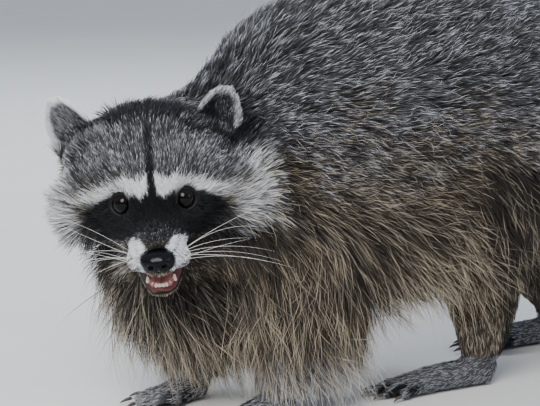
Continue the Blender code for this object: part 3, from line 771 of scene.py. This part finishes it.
def piece_of_each(surface, nodes):
    """Which piece of the coat each triangle of the skin belongs to."""
    owner = nodes[surface.triangles[:, 0]]
    place = surface.places[surface.triangles].mean(axis=1)
    kinds = kinds_of(owner)
    head = in_head(place)
    trunk, skull = kinds == "trunk", np.isin(kinds, ("head", "jaw"))
    found = np.full(len(place), "coat_back", dtype=object)
    for name, where in (
        ("coat_flank_left", trunk & (place[:, 2] < 0.235)),
        ("coat_flank_right", trunk & (place[:, 2] < 0.235) & (place[:, 1] > 0)),
        ("coat_underside", trunk & ((place[:, 2] < 0.115) | (place[:, 0] < -0.2))),
        ("coat_neck", kinds == "neck"),
        ("coat_head", skull | (kinds == "ear")),
        ("coat_face", skull & (np.linalg.norm(head - FACE_MIDDLE, axis=1) < FACE_REACH)),
        ("coat_forelegs", kinds == "foreleg"),
        ("coat_hindlegs", np.isin(kinds, ("thigh", "shank"))),
        ("coat_feet", np.isin(kinds, ("forepaw", "hindfoot"))),
        ("coat_tail", kinds == "tail"),
    ):
        found[where] = name
    return found


def unwrapped(surface, triangles):
    """An unwrap of those triangles of the skin: the two coordinates of each triangle's corners."""
    used, corners = np.unique(surface.triangles[triangles], return_inverse=True)
    mesh = mesh_of("unwrap", surface.places[used], [corners.reshape(-1, 3)])
    mesh.uv_layers.new(name="unwrap")
    holder = linked_object("unwrap", mesh)
    for other in bpy.context.selected_objects:
        other.select_set(False)
    bpy.context.view_layer.objects.active = holder
    holder.select_set(True)
    bpy.ops.object.mode_set(mode="EDIT")
    bpy.ops.mesh.select_all(action="SELECT")
    bpy.ops.uv.smart_project(angle_limit=math.radians(70), island_margin=0.004)
    bpy.ops.object.mode_set(mode="OBJECT")
    found = read(mesh.uv_layers[0].data, "uv", np.float32, 2)
    bpy.data.objects.remove(holder)
    return found.reshape(-1, 3, 2)


def tuft_roots(surface, triangles, amount, fineness):
    """Random roots over those triangles: the triangle of each, by its number in the list, and the shares
    of its corners. Fineness says how much closer tufts stand there."""
    a, b, c = (surface.places[surface.triangles[triangles, k]] for k in range(3))
    area = np.linalg.norm(np.cross(b - a, c - a), axis=1) * fineness
    chosen = CHANCE.choice(len(triangles), amount, p=area / area.sum())
    u, v = CHANCE.random((2, amount))
    over = u + v > 1
    u, v = np.where(over, 1 - u, u), np.where(over, 1 - v, v)
    return chosen, np.stack([1 - u - v, u, v], axis=1)


def locks(roots, size):
    """For each root the nearest of a set of random roots, about size apart: the middle of its lock."""
    cell = np.floor(roots / size).astype(int)
    cell += 1 - cell.min(axis=0)
    table = np.full(cell.max(axis=0) + 2, -1)
    order = CHANCE.permutation(len(roots))[::-1]
    table[tuple(cell[order].T)] = order
    best = np.arange(len(roots))
    nearest = np.full(len(roots), 1e9)
    for shift in np.ndindex(3, 3, 3):
        candidate = table[tuple((cell + shift - 1).T)]
        away = np.where(candidate < 0, 1e9, np.linalg.norm(roots - roots[candidate], axis=1))
        nearer = away < nearest
        best = np.where(nearer, candidate, best)
        nearest = np.where(nearer, away, nearest)
    return best


def tuft_tones(root, belongs, strays, wild, centre, apart):
    """For each tuft the chance that sorts its tip, how light it is, painted shade and light included, and how
    calm the fur is there.
    """
    n, z = len(root), root[:, 2]
    own, level = np.where(strays, 0.9, CHANCE.random(n)), CHANCE.random(n)
    own = np.where(strays, own, mixed(own, own[centre], 0.30))
    # Painted shade: tufts further from the middle of their lock are darker, as in the partings between locks.
    parting_shade = mixed(0.42, 0.22, belongs["face"]) * step(0.25, 0.70, apart)
    low_trunk_shade = step(0.20, 0.13, z) * belongs["trunk"]
    under_cheek_light = step(-30, -44, face_height(in_head(root))) * belongs["face"]
    level = mixed(level, level[centre], 0.6) * mixed(1, 0.75, wild) - parting_shade
    # Painted shade: darker tufts on the thigh and on the low trunk.
    level = level - 0.24 * np.maximum(belongs["thigh"], low_trunk_shade)
    # Painted light: the low neck and the face under the cheeks are lifted out of the head's shade.
    level += 0.16 * np.maximum(step(0.23, 0.17, z) * belongs["neck"], under_cheek_light)
    level = np.where(strays, mixed(0.6, 1.0, CHANCE.random(n)), np.clip(level, 0, 1))
    # Painted light gives lighter tips at the front of the chest; painted shade gives darker tips on the thigh
    # and low trunk.
    throat_light_thigh_shade = 0.18 * step(-0.24, -0.31, root[:, 0]) * (1 - belongs["face"]) - 0.14 * belongs["thigh"]
    own = np.clip(own + throat_light_thigh_shade - 0.05 * low_trunk_shade, 0, 1)
    calm = most(belongs["feet"], 0.7 * step(0.062, 0.040, z) * belongs["shank"], 0.6 * belongs["ear"])
    own = mixed(own, 0.70, 0.92 * calm)
    level = mixed(level, 0.31, 0.92 * calm)
    level = mixed(level, 0.45, 0.35 * belongs["face"])
    return own, level, calm


def tufts(name, surface, nodes, parts, coat, outward, lie, triangles, amount, lengths):
    """One piece of the coat. Each tuft is a narrow strip that tapers to a point, rooted in the skin and
    bent over along the lie of the coat, with neighbouring tufts drawn together into locks."""
    fineness = 1 / np.maximum(coat["length"][surface.triangles[triangles, 0]], 2.5)
    chosen, shares = tuft_roots(surface, triangles, amount, fineness)
    corners = surface.triangles[triangles[chosen]]
    unwrap = unwrapped(surface, triangles)[chosen]
    singles = [coat[k] for k in COAT_VALUES] + list(parts.values())
    every = np.column_stack([surface.places, outward, lie, *singles])
    at_root = (every[corners] * shares[..., None]).sum(axis=1)
    patch = (unwrap * shares[..., None]).sum(axis=1)
    keep = ~bare(at_root[:, :3], unit(at_root[:, 3:6]), nodes[corners[:, 0]])
    at_root, patch = at_root[keep], patch[keep]
    root, normal, way = at_root[:, :3], unit(at_root[:, 3:6]), at_root[:, 6:9]
    way = unit(way - normal * dot(way, normal)[:, None])
    depth, length, stand, width, draw, wander, lock, stray = at_root[:, 9:17].T
    belongs = dict(zip(parts, at_root[:, 17:].T))
    n = len(root)
    side = np.cross(way, normal)
    marks = markings(root + way * (0.45 * length * MM)[:, None], belongs)
    marks = scattered(marks, CHANCE.random((n, 1)))

    # Broad wandering of the lie, then each tuft's own.
    strays = CHANCE.random(n) < stray
    wild = step(22, 40, length)
    turn = (0.16 + 0.20 * wild) * ripple(root, 0.05, 11) + (0.12 + 0.14 * wild) * ripple(root, 0.016, 12)
    turn += CHANCE.normal(0, 0.13, n) * np.where(strays, 2.6, 1)
    c, s = np.cos(turn)[:, None], np.sin(turn)[:, None]
    way, side = way * c + side * s, side * c - way * s
    length = length * MM * CHANCE.uniform(0.65, 1.15, n) * np.where(strays, mixed(1.35, 1.65, wild), 1)
    draw, wander = np.where(strays, 0.1, draw), np.where(strays, 0.22, wander * (1 + wild))
    height = depth * stand * MM * CHANCE.uniform(0.35, 1.12, n) * np.where(strays, 1.5, 1)
    height = np.clip(height, 0.7 * MM, 0.85 * length)
    reach = np.sqrt(np.maximum(length**2 - height**2, 0))
    sag = 0.18 * reach * step(14 * MM, 45 * MM, length)
    tip = root + way * reach[:, None] + normal * height[:, None] - [0, 0, 1] * sag[:, None]
    lock_size = float(np.median(lock)) * MM
    centre = locks(root, lock_size)
    from_centre = root - root[centre]
    pull = mixed(tip, tip[centre] + from_centre * 0.25, draw[:, None]) - tip
    phase = CHANCE.uniform(0, math.tau, n)
    swing = wander * length * CHANCE.normal(0, 1, n)
    roll = CHANCE.normal(0, 0.6, n)
    across = side * np.cos(roll)[:, None] + normal * np.sin(roll)[:, None]
    half = width * MM * 0.5 * CHANCE.uniform(0.6, 1.4, n) * np.where(strays, mixed(0.55, 0.80, wild), 1)

    rows, alongs = [], []
    for k in range(lengths + 1):
        s = k / lengths
        lift = height * (1 - (1 - s) ** 2.2)
        place = root - normal * ROOT_DEPTH + way * (reach * s)[:, None] + normal * lift[:, None]
        place = place - [0, 0, 1] * (sag * s * s)[:, None] + pull * s**1.6
        place = place + side * (swing * s * np.sin(phase + 2.6 * s) * 0.6)[:, None]
        broad = across * (half * (1 - s**2.2) * (0.75 + 0.6 * s * (1 - s)))[:, None]
        ends = [place - broad, place + broad] if k < lengths else [place]
        rows += ends
        alongs += [s] * len(ends)
    per = len(rows)
    places = np.clip(np.stack(rows, axis=1).reshape(-1, 3), *COAT_LIMITS)
    first = np.arange(n)[:, None] * per
    quads = [first + np.array([2 * k, 2 * k + 1, 2 * k + 3, 2 * k + 2]) for k in range(lengths - 1)]
    mesh = mesh_of(name, places, [*quads, first + np.array([per - 3, per - 2, per - 1])])
    given(mesh, "marks", np.repeat(marks, per, axis=0))
    apart = np.linalg.norm(from_centre, axis=1) / lock_size
    own, level, calm = (np.repeat(v, per) for v in tuft_tones(root, belongs, strays, wild, centre, apart))
    along = np.tile(alongs, n)
    given(mesh, "strand", np.stack([mixed(along, 0.52 + 0.30 * along, calm), own, level], axis=1))

    tuft, corner = np.divmod(read(mesh.loops, "vertex_index", np.int32), per)
    across_patch = np.where(corner == per - 1, 0.5, corner % 2)
    spot = patch[tuft] * (1 - PATCH) + np.stack([across_patch, np.array(alongs)[corner]], axis=1) * PATCH
    layer = mesh.uv_layers.new(name="OFBake")
    layer.data.foreach_set("uv", spot.astype(np.float32).ravel())
    return mesh


# ---------------- materials


def linked(tree, kind, inputs=(), **settings):
    """A new shader node with its settings, its inputs set or linked by name or number."""
    node = tree.nodes.new("ShaderNode" + kind)
    for key, value in settings.items():
        setattr(node, key, value)
    for key, value in dict(inputs).items():
        if hasattr(value, "is_output"):
            tree.links.new(value, node.inputs[key])
        else:
            node.inputs[key].default_value = value
    return node


def blend_of(tree, share, a, b):
    """Mixes two colours, each a socket or three fixed values."""
    node = linked(tree, "Mix", data_type="RGBA")
    for key, value in (("Factor", share), ("A", a), ("B", b)):
        kind = "VALUE" if key == "Factor" else "RGBA"
        socket = next(s for s in node.inputs if s.name == key and s.type == kind)
        if hasattr(value, "is_output"):
            tree.links.new(value, socket)
        else:
            socket.default_value = (*value, 1.0)
    return next(s for s in node.outputs if s.type == "RGBA")


def maths(tree, operation, a, b):
    return linked(tree, "Math", {0: a, 1: b}, operation=operation).outputs[0]


def eased_range(tree, value, low, high):
    inputs = {"Value": value, "From Min": low, "From Max": high}
    return linked(tree, "MapRange", inputs, interpolation_type="SMOOTHSTEP").outputs["Result"]


def three_of(tree, attribute):
    """The three values stored under that name, as sockets."""
    found = linked(tree, "Attribute", attribute_name=attribute).outputs["Vector"]
    return linked(tree, "SeparateXYZ", {0: found}).outputs


# Colours along a tuft, root, middle and tip, for each kind of hair.
GREY_HAIR = ((0.014, 0.013, 0.013), (0.054, 0.053, 0.055), (0.45, 0.47, 0.52))
WARM_HAIR = ((0.010, 0.008, 0.006), (0.028, 0.022, 0.017), (0.255, 0.190, 0.114))
DARK_HAIR = ((0.002, 0.0025, 0.003), (0.004, 0.0045, 0.006), (0.008, 0.009, 0.012))
PALE_HAIR = ((0.50, 0.51, 0.53), (0.86, 0.88, 0.91), (0.94, 0.955, 0.98))
CREAM_HAIR = ((0.21, 0.18, 0.145), (0.46, 0.40, 0.315), (0.68, 0.60, 0.48))
PALE_GOLD = (0.35, 0.30, 0.222)  # the tips of the lightest warm hairs
BLACK_TIP = (0.008, 0.008, 0.010)
BROWN_TIP = (0.022, 0.015, 0.010)


def coat_colour_group():
    """The coat's colour from the markings and from how far along its tuft each point is."""
    tree = bpy.data.node_groups.new("raccoon_coat_colour", "ShaderNodeTree")
    tree.interface.new_socket("Color", in_out="OUTPUT", socket_type="NodeSocketColor")
    dark, pale, warm = three_of(tree, "marks")
    along, chance, level = three_of(tree, "strand")

    def hair(kind, tip_share, lightest=None):
        root, belly, tip = kind
        if lightest is not None:
            tip = blend_of(tree, eased_range(tree, level, 0.35, 0.80), tip, lightest)
        lower = blend_of(tree, eased_range(tree, along, 0.05, 0.45), root, belly)
        upper = maths(tree, "MULTIPLY", eased_range(tree, along, 0.45, 0.80), tip_share)
        return blend_of(tree, upper, lower, tip)

    def tipped(hairs, start, least_chance, tip):
        """Some hairs given dark tips."""
        some = eased_range(tree, chance, least_chance, 0.22)
        share = maths(tree, "MULTIPLY", eased_range(tree, along, start, 0.7), some)
        return blend_of(tree, share, hairs, tip)

    def shaded(value, least, most):
        shade = linked(tree, "MapRange", {"Value": level, "To Min": least, "To Max": most})
        inputs = {0: value, "Scale": shade.outputs["Result"]}
        return linked(tree, "VectorMath", inputs, operation="SCALE").outputs["Vector"]

    light_tip = eased_range(tree, chance, 0.54, 0.72)
    grey = tipped(hair(GREY_HAIR, light_tip), 0.35, 0.42, BLACK_TIP)
    brown = tipped(hair(WARM_HAIR, eased_range(tree, chance, 0.60, 0.78), PALE_GOLD), 0.3, 0.40, BROWN_TIP)
    coat = blend_of(tree, dark, blend_of(tree, warm, grey, brown), hair(DARK_HAIR, light_tip))
    light = blend_of(tree, warm, hair(PALE_HAIR, 1.0), hair(CREAM_HAIR, 1.0))
    coat = blend_of(tree, pale, shaded(coat, 0.40, 1.60), shaded(light, 0.72, 1.0))
    tree.links.new(coat, tree.nodes.new("NodeGroupOutput").inputs["Color"])
    return tree


def material(name, **sockets):
    """A Principled material with those constant values. Returns it, its tree and its shader."""
    made = bpy.data.materials.new(name)
    made.use_nodes = True
    shader = next(n for n in made.node_tree.nodes if n.type == "BSDF_PRINCIPLED")
    for key, value in sockets.items():
        shader.inputs[key.replace("_", " ")].default_value = value
    return made, made.node_tree, shader


def in_object(tree):
    return linked(tree, "TexCoord").outputs["Object"]


def noise(tree, scale, detail=3.0):
    inputs = {"Scale": scale, "Detail": detail, "Roughness": 0.55, "Vector": in_object(tree)}
    return linked(tree, "TexNoise", inputs).outputs["Fac"]


def finished(tree, shader, base, height=None, strength=0.0, distance=0.0):
    """Gives the shader its colour, and bumps of that height where there is one."""
    tree.links.new(base, shader.inputs["Base Color"])
    if height is not None:
        bump = linked(tree, "Bump", {"Strength": strength, "Distance": distance, "Height": height})
        tree.links.new(bump.outputs["Normal"], shader.inputs["Normal"])


def coat_material(name, group):
    made, tree, shader = material(name, Roughness=0.62, Specular_IOR_Level=0.25)
    colours = linked(tree, "Group", node_tree=group).outputs["Color"]
    finished(tree, shader, colours, noise(tree, 900), 0.25, 0.0004)
    return made


def skin_material(group):
    made, tree, shader = material("skin_under_coat", Specular_IOR_Level=0.2)
    base = linked(tree, "Group", node_tree=group).outputs["Color"]
    lip, mouth, pad = three_of(tree, "flesh")
    grain = noise(tree, 260, 5)
    inside = blend_of(tree, grain, (0.09, 0.020, 0.020), (0.20, 0.058, 0.054))
    sole = blend_of(tree, grain, (0.02, 0.018, 0.018), (0.06, 0.05, 0.048))
    for share, tint in ((mouth, inside), (lip, (0.005, 0.0045, 0.005)), (pad, sole)):
        base = blend_of(tree, share, base, tint)
    wet = maths(tree, "MAXIMUM", lip, mouth)
    tree.links.new(eased_range(tree, wet, 2.0, -0.3), shader.inputs["Roughness"])
    finished(tree, shader, base, grain, 0.5, 0.0006)
    return made


def eye_material():
    """Dark brown iris and black pupil under a clear cornea."""
    made, tree, shader = material("eye_dark", Roughness=0.03, Specular_IOR_Level=0.17)
    rings = linked(tree, "Attribute", attribute_name="ring").outputs["Fac"]
    iris = blend_of(tree, noise(tree, 700, 4), (0.003, 0.002, 0.0015), (0.010, 0.005, 0.003))
    base = blend_of(tree, eased_range(tree, rings, 0.46, 0.54), (0.001, 0.001, 0.001), iris)
    white = eased_range(tree, rings, 0.70, 0.86)
    finished(tree, shader, blend_of(tree, white, base, (0.004, 0.003, 0.003)))
    return made


def whisker_material():
    made, tree, shader = material("whisker", Roughness=0.4)
    along = three_of(tree, "strand")[0]
    pale = (0.86, 0.85, 0.82)
    root = (0.30, 0.27, 0.24)
    finished(tree, shader, blend_of(tree, eased_range(tree, along, 0.0, 0.12), root, pale))
    return made


# Materials of two colours spread by a noise, each with its bumps and the shader's own values.
TWO_TONED = {
    "nose_wet": (
        (300, 3), (0.001, 0.001, 0.0015), (0.004, 0.004, 0.005), ("cells", 900, 0.18, 0.0003),
        {"Roughness": 0.22, "Specular_IOR_Level": 0.16},
    ),
    "tongue_moist": (
        (350, 4), (0.27, 0.080, 0.080), (0.42, 0.155, 0.145), (2, 1600, 0.6, 0.0004),
        {"Roughness": 0.3, "Coat_Weight": 0.3, "Coat_Roughness": 0.15},
    ),
    "claw_horn": (
        (500, 3), (0.018, 0.014, 0.012), (0.085, 0.068, 0.054), (3, 1200, 0.3, 0.0003), {"Roughness": 0.38},
    ),
    "tooth_enamel": (
        (400, 3), (0.62, 0.54, 0.40), (0.82, 0.77, 0.66), (3, 900, 0.15, 0.0002),
        {"Roughness": 0.25, "Coat_Weight": 0.4},
    ),
    "pale_floor": ((6, 4), (0.62, 0.61, 0.59), (0.68, 0.67, 0.65), None, {"Roughness": 0.8}),
}


def two_toned(name):
    spread, dark, light, bumps, sockets = TWO_TONED[name]
    made, tree, shader = material(name, **sockets)
    base = blend_of(tree, noise(tree, *spread), dark, light)
    if bumps is None:
        finished(tree, shader, base)
        return made
    detail, scale, strength, distance = bumps
    if detail == "cells":
        inputs = {"Vector": in_object(tree), "Scale": scale}
        height = linked(tree, "TexVoronoi", inputs).outputs["Distance"]
    else:
        height = noise(tree, scale, detail)
    finished(tree, shader, base, height, strength, distance)
    return made


# ---------------- eyes, nose, mouth, claws and whiskers


def eye(name, finish):
    """An eyeball with the bulge of its cornea, and the iris and pupil marked by distance from its axis."""
    centre, look, _, _ = eye_axes(name)
    across = unit(np.cross(look, HEAD_AXES[2]))
    above = np.cross(across, look)
    rings, turns = 40, 48
    angle = math.pi * (0.002 + 0.996 * np.arange(rings + 1) / rings)[:, None, None]
    turn = (np.arange(turns) * math.tau / turns)[:, None]
    way = look * np.cos(angle) + (across * np.cos(turn) + above * np.sin(turn)) * np.sin(angle)
    bulge = 1 + 0.06 * step(0.9, 0.2, angle)
    mesh = together("eyeball_" + name, [(centre + way * EYE_RADIUS * MM * bulge)[:, ::-1]])
    given(mesh, "ring", np.repeat(np.minimum(angle.ravel() / 1.15, 1.0), turns))
    return placed("eyeball_" + name, mesh, finish, ["eye_" + name])


# The lids' rows outwards from the wet rim: degrees beyond the opening, and how far out in eye radii.
LID_ROWS = ((-1, 0.99), (0, 1.09), (5, 1.135), (13, 1.15), (26, 1.11), (42, 1.02))
WET_ROWS = 2


def lids(name):
    """Upper and lower lids round an eye: rows of places from the wet rim outwards."""
    centre, look, outer, above = eye_axes(name)
    turn = np.arange(40)[:, None] * math.tau / 40
    c, s = np.cos(turn), np.sin(turn)
    opening = LID_OPENING + 6 * c * c * np.where(c > 0, 1, 1.3) - np.where(s > 0, 3, 1) * s * s
    rows = []
    for add, swell in LID_ROWS:
        angle = np.radians(opening + add)
        way = look * np.cos(angle) + (outer * c + above * s) * np.sin(angle)
        rows.append(centre + way * swell * EYE_RADIUS * MM)
    return np.array(rows)[:, :: -SIDES[name]]


NOSE_HALF = (9.4, 12.5, 8.2)  # half the pad's depth, width and height


def nose(finish):
    """The nose pad: a rounded wedge with comma-shaped nostrils and a cleft below."""
    rings, turns = 64, 96
    t = np.linspace(0.01, math.pi - 0.01, rings)[:, None]
    p = np.arange(turns) * math.tau / turns
    way = np.stack([np.cos(t) + 0 * p, np.sin(t) * np.cos(p), np.sin(t) * np.sin(p)], axis=-1)
    f, l, u = way[..., 0], way[..., 1], way[..., 2]
    out = np.abs(l)
    size = np.ones_like(f)
    hole = np.exp(-(((out - 0.47) / 0.19) ** 2 + ((u + 0.16) / 0.20) ** 2)) * (f > 0)
    slit = np.exp(-(((u + 0.34 + 0.25 * (out - 0.6)) / 0.11) ** 2))
    slit *= step(0.42, 0.62, out) * step(1.0, 0.85, out)
    cleft = np.exp(-((l / 0.07) ** 2)) * step(0.15, -0.35, u)
    size -= 0.42 * hole + 0.16 * slit * (f > -0.2) + 0.10 * cleft
    size += 0.05 * np.exp(-(((out - 0.30) / 0.2) ** 2 + ((u - 0.45) / 0.3) ** 2))
    shape = way * size[..., None] * np.array(NOSE_HALF)
    shape[..., 1] *= 1 + 0.15 * np.clip(u, -1, 1)
    return placed("nose_pad", together("nose_pad", [from_head(shape + NOSE_AT)]), finish, ["nose"])


def tongue(finish):
    """The tongue lies on the floor of the mouth, with a groove along its middle."""
    path = np.array([(36, -51.0), (34, -48.6), (30, -47.2), (22, -45.5), (12, -43.4), (2, -40.7)])
    wide = np.array([2.0, 7.0, 9.4, 10.6, 11.2, 10.0])
    fine = np.linspace(0, len(path) - 1, 40)
    index = np.arange(len(path))
    forward, up, half = (np.interp(fine, index, v) for v in (path[:, 0], path[:, 1], wide))
    across = np.linspace(-1, 1, 25)
    dip = -1.5 * np.exp(-((across / 0.16) ** 2)) + 1.4 * (1 - across**2) - 2.6 * np.abs(across) ** 6
    rows = np.stack([forward[:, None] + 0 * across, half[:, None] * across, up[:, None] + dip], axis=-1)
    shape = from_head(np.concatenate([rows, rows[:, ::-1] - [0, 0, 3.0]], axis=1))
    return placed("tongue_moist", together("tongue_moist", [shape]), finish, ["tongue"])


def tooth_rows(root, tip, radius, flat):
    """Rings of places up one tooth, from root to tip in the head's frame."""
    turn = np.arange(12) * math.tau / 12
    rows = []
    for s, share in ((0, 1.0), (0.35, 1.05), (0.7, 0.85), (0.92, 0.5), (1.0, 0.08)):
        wide, deep = radius * share * (flat if s > 0.6 else 1.0), radius * share * 0.8
        ring = np.stack([np.cos(turn) * deep, np.sin(turn) * wide, 0 * turn], axis=1)
        rows.append(mixed(np.array(root), np.array(tip), s) + ring)
    return from_head(rows)


def teeth(finish):
    """The lower teeth that show: six incisors, then a canine and two cheek teeth on each side."""
    parts = []
    for place in np.linspace(-0.62, 0.62, 6):
        forward = 27.5 + 8 * (1 - place**2)
        parts.append(tooth_rows((forward, 9 * place, -53.5), (forward + 0.6, 9.3 * place, -48.1), 1.5, 1.25))
    for side in (-1, 1):
        parts.append(tooth_rows((27.5, side * 9.2, -53.5), (28.6, side * 10.0, -45.1), 2.0, 0.8))
        for back in (0, 1):
            forward, out = 22.5 - 5 * back, side * (10.6 + 0.9 * back)
            parts.append(tooth_rows((forward, out, -51.6), (forward, out, -46.4 + 0.8 * back), 1.8, 0.9))
    return placed("teeth", together("teeth", parts), finish)


def claws(finish):
    """Every claw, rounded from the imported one's shape."""
    nodes = sorted(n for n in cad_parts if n.startswith("claw"))
    mesh = applied(joined("claws", nodes), ("SUBSURF", {"levels": 2, "render_levels": 2}))
    mesh.shade_smooth()
    return placed("claws", mesh, finish, nodes)


def whiskers(finish):
    """Eight long whiskers on each side of the muzzle, and two over each eye."""
    grids = []
    chance = np.random.default_rng(5)
    s = np.linspace(0, 1, 14)
    quarter = np.arange(4) * math.pi / 2
    ring = np.stack([np.cos(quarter), 0 * quarter, np.sin(quarter)], axis=1)
    thick = (0.12 * (1 - s) ** 0.7 + 0.025)[:, None, None]
    for side in (-1, 1):
        sprung = []
        for k in range(8):
            row, column = divmod(k, 4)
            start = (38 - 3.2 * column, 13 + 2.2 * column, -25 - 4.2 * row - 1.2 * (k % 3))
            sprung.append((start, chance.uniform(56, 88), k))
        sprung += [((10, 24, 17.5), 22, 1), ((11, 21, 17), 18, 2)]
        for (forward, out, up), length, k in sprung:
            back, rise = -0.08 + chance.normal(0, 0.18), 0.72 - 0.30 * (k // 4) - 0.15 * (k % 4)
            way = unit(np.array([back, side, rise + chance.normal(0, 0.16)]))
            bend = np.array([-0.40, 0, -0.68 + chance.normal(0, 0.34)])
            line = np.outer(s, way * length) + np.outer(s * s, bend * length * 0.5)
            grids.append(from_head((line + (forward, side * out, up))[:, None] + thick * ring))
    mesh = together("whiskers", grids)
    along = np.tile(np.repeat(s, 4), len(grids))
    given(mesh, "strand", np.stack([along] * 3, axis=1))
    return placed("whiskers", mesh, finish)


def flesh_tones(places, normals, nodes):
    """Lip, mouth and pad: where the skin is black lip, moist mouth or the pad of a sole."""
    head = in_head(places)
    facing = normals @ HEAD_AXES.T
    kinds = kinds_of(nodes)
    out = np.abs(head[:, 1])
    inside = step(-31, -35, head[:, 2]) * step(26, 20, out)
    inside *= step(-12, -4, head[:, 0]) * step(46, 42, head[:, 0])
    up = facing[:, 2]
    mouth = inside * np.where(kinds == "jaw", step(0.35, 0.65, up), step(-0.45, -0.75, up))
    lip = inside * np.where(kinds == "jaw", step(-0.75, -0.35, up), step(0.0, -0.4, up)) * (1 - mouth)
    near_nose = np.linalg.norm((head - NOSE_AT) / NOSE_RIM, axis=1)
    lip = most(lip, step(12.5, 10.9, away_from_eyes(places)), step(1.12, 1.0, near_nose))
    pad = step(0.006, 0.003, places[:, 2]) * step(-0.1, -0.5, normals[:, 2])
    return np.stack([lip, mouth, pad], axis=1)


# ---------------- the raccoon


def skin_piece(surface, nodes, parts, normals, lie, finish):
    """The skin's mesh with the lids joined to it."""
    skin = surface.places
    faces = [read(surface.mesh.loops, "vertex_index", np.int32).reshape(-1, 4)]
    rims = {name: lids(name) for name in SIDES}
    marks = [scattered(markings(skin + lie * 0.002, parts), 0.5)]
    tones = [flesh_tones(skin, normals, nodes)]
    start = len(skin)
    for name, rows in rims.items():
        faces.append(grid_faces(rows, start)[:, [0, 3, 2, 1]])
        start += rows.size // 3
        # A painted highlight: a pale grey line on the lower lid's wet rim.
        shown = step(0.1, -0.5, dot(unit(rows - middle("eye_" + name)), HEAD_AXES[2]) * 1.4)
        shown[np.arange(len(LID_ROWS)) != 1] = 0
        marks.append(np.stack([1 - 0.5 * shown, 0.45 * shown, 0 * shown], axis=-1).reshape(-1, 3))
        wet = np.zeros(rows.shape)
        wet[:WET_ROWS, :, 0] = 1
        tones.append(wet.reshape(-1, 3))
    places = np.concatenate([skin, *(rows.reshape(-1, 3) for rows in rims.values())])
    mesh = mesh_of("skin", places, faces)
    given(mesh, "marks", np.concatenate(marks))
    given(mesh, "flesh", np.concatenate(tones))
    strand = np.tile([0.28, 0.5, 0.35], (start, 1))
    strand[:len(skin), 0] += 0.35 * parts["feet"]
    given(mesh, "strand", strand)
    return placed("skin", mesh, finish, FLESH)


def raccoon():
    surface, nodes, parts, coat = raccoon_surface()
    outward = unit(surface.eased(surface.normals(), 2))
    lie = lie_of_coat(surface, nodes, outward)
    group = coat_colour_group()
    skin_piece(surface, nodes, parts, outward, lie, skin_material(group))
    owners = piece_of_each(surface, nodes)
    fur = coat_material("coat_fur", group)
    for name, (amount, lengths) in COAT_PIECES.items():
        triangles = np.flatnonzero(owners == name)
        share = 1
        mesh = tufts(name, surface, nodes, parts, coat, outward, lie, triangles, int(amount * share), lengths)
        placed(name, mesh, fur)
    gloss = eye_material()
    for name in SIDES:
        eye(name, gloss)
    nose(two_toned("nose_wet"))
    tongue(two_toned("tongue_moist"))
    teeth(two_toned("tooth_enamel"))
    claws(two_toned("claw_horn"))
    whiskers(whisker_material())


# ---------------- floor, light and camera


FLOOR_HALF = 6.0  # half the floor's side


def floor():
    places = np.array([(-1, -1, 0), (1, -1, 0), (1, 1, 0), (-1, 1, 0)]) * FLOOR_HALF
    mesh = mesh_of("floor", places, [np.array([[0, 1, 2, 3]])])
    mesh.materials.append(two_toned("pale_floor"))
    ground = linked_object("floor", mesh)


def aimed(thing, place, target):
    thing.location = place
    thing.rotation_mode = "QUATERNION"
    thing.rotation_quaternion = (Vector(target) - Vector(place)).to_track_quat("-Z", "Y")
    bpy.context.scene.collection.objects.link(thing)


def lamp(name, place, target, size, power, tint):
    light = bpy.data.lights.new(name, "AREA")
    light.shape, light.size, light.energy, light.color = "DISK", size, power, tint
    thing = bpy.data.objects.new(name, light)
    aimed(thing, place, target)


SKY_LOW, SKY_HIGH, SKY_STRENGTH = (0.40, 0.44, 0.50), (0.86, 0.96, 1.12), 0.76
# Where each lamp stands, where it points, how wide and strong it is, and its colour.
LAMPS = {
    "key": ((-1.6, -1.6, 1.9), (-0.15, 0, 0.15), 1.6, 96, (1.0, 0.985, 0.96)),
    "fill": ((1.6, -2.2, 1.2), (0, 0, 0.15), 1.6, 12, (0.93, 0.96, 1.0)),
    "rim": ((0.4, 1.9, 2.0), (0, 0, 0.2), 1.0, 46, (0.86, 0.93, 1.0)),
}


def studio():
    world = bpy.data.worlds.new("studio")
    bpy.context.scene.world = world
    world.use_nodes = True
    tree = world.node_tree
    sky = next(n for n in tree.nodes if n.type == "BACKGROUND")
    way = linked(tree, "TexCoord").outputs["Generated"]
    rise = linked(tree, "SeparateXYZ", {0: way}).outputs[2]
    tint = blend_of(tree, eased_range(tree, rise, -0.2, 0.8), SKY_LOW, SKY_HIGH)
    tree.links.new(tint, sky.inputs["Color"])
    sky.inputs["Strength"].default_value = SKY_STRENGTH
    for name, values in LAMPS.items():
        lamp(name, *values)


CAMERA_AIM = (-0.186, -0.002, 0.1577)
CAMERA_TURN, CAMERA_RISE = -28, 10  # degrees round the raccoon and above the horizon
CAMERA_DISTANCE = 1.5
VIEW_WIDTH = 0.432  # what the camera takes in at its aim


def camera():
    turn, rise = math.radians(CAMERA_TURN), math.radians(CAMERA_RISE)
    back = Vector((math.sin(turn) * math.cos(rise), -math.cos(turn) * math.cos(rise), math.sin(rise)))
    made = bpy.data.cameras.new("camera")
    made.lens = made.sensor_width * CAMERA_DISTANCE / VIEW_WIDTH
    thing = bpy.data.objects.new("camera", made)
    aimed(thing, Vector(CAMERA_AIM) + back * CAMERA_DISTANCE, CAMERA_AIM)
    bpy.context.scene.camera = thing


floor()
studio()
camera()
raccoon()
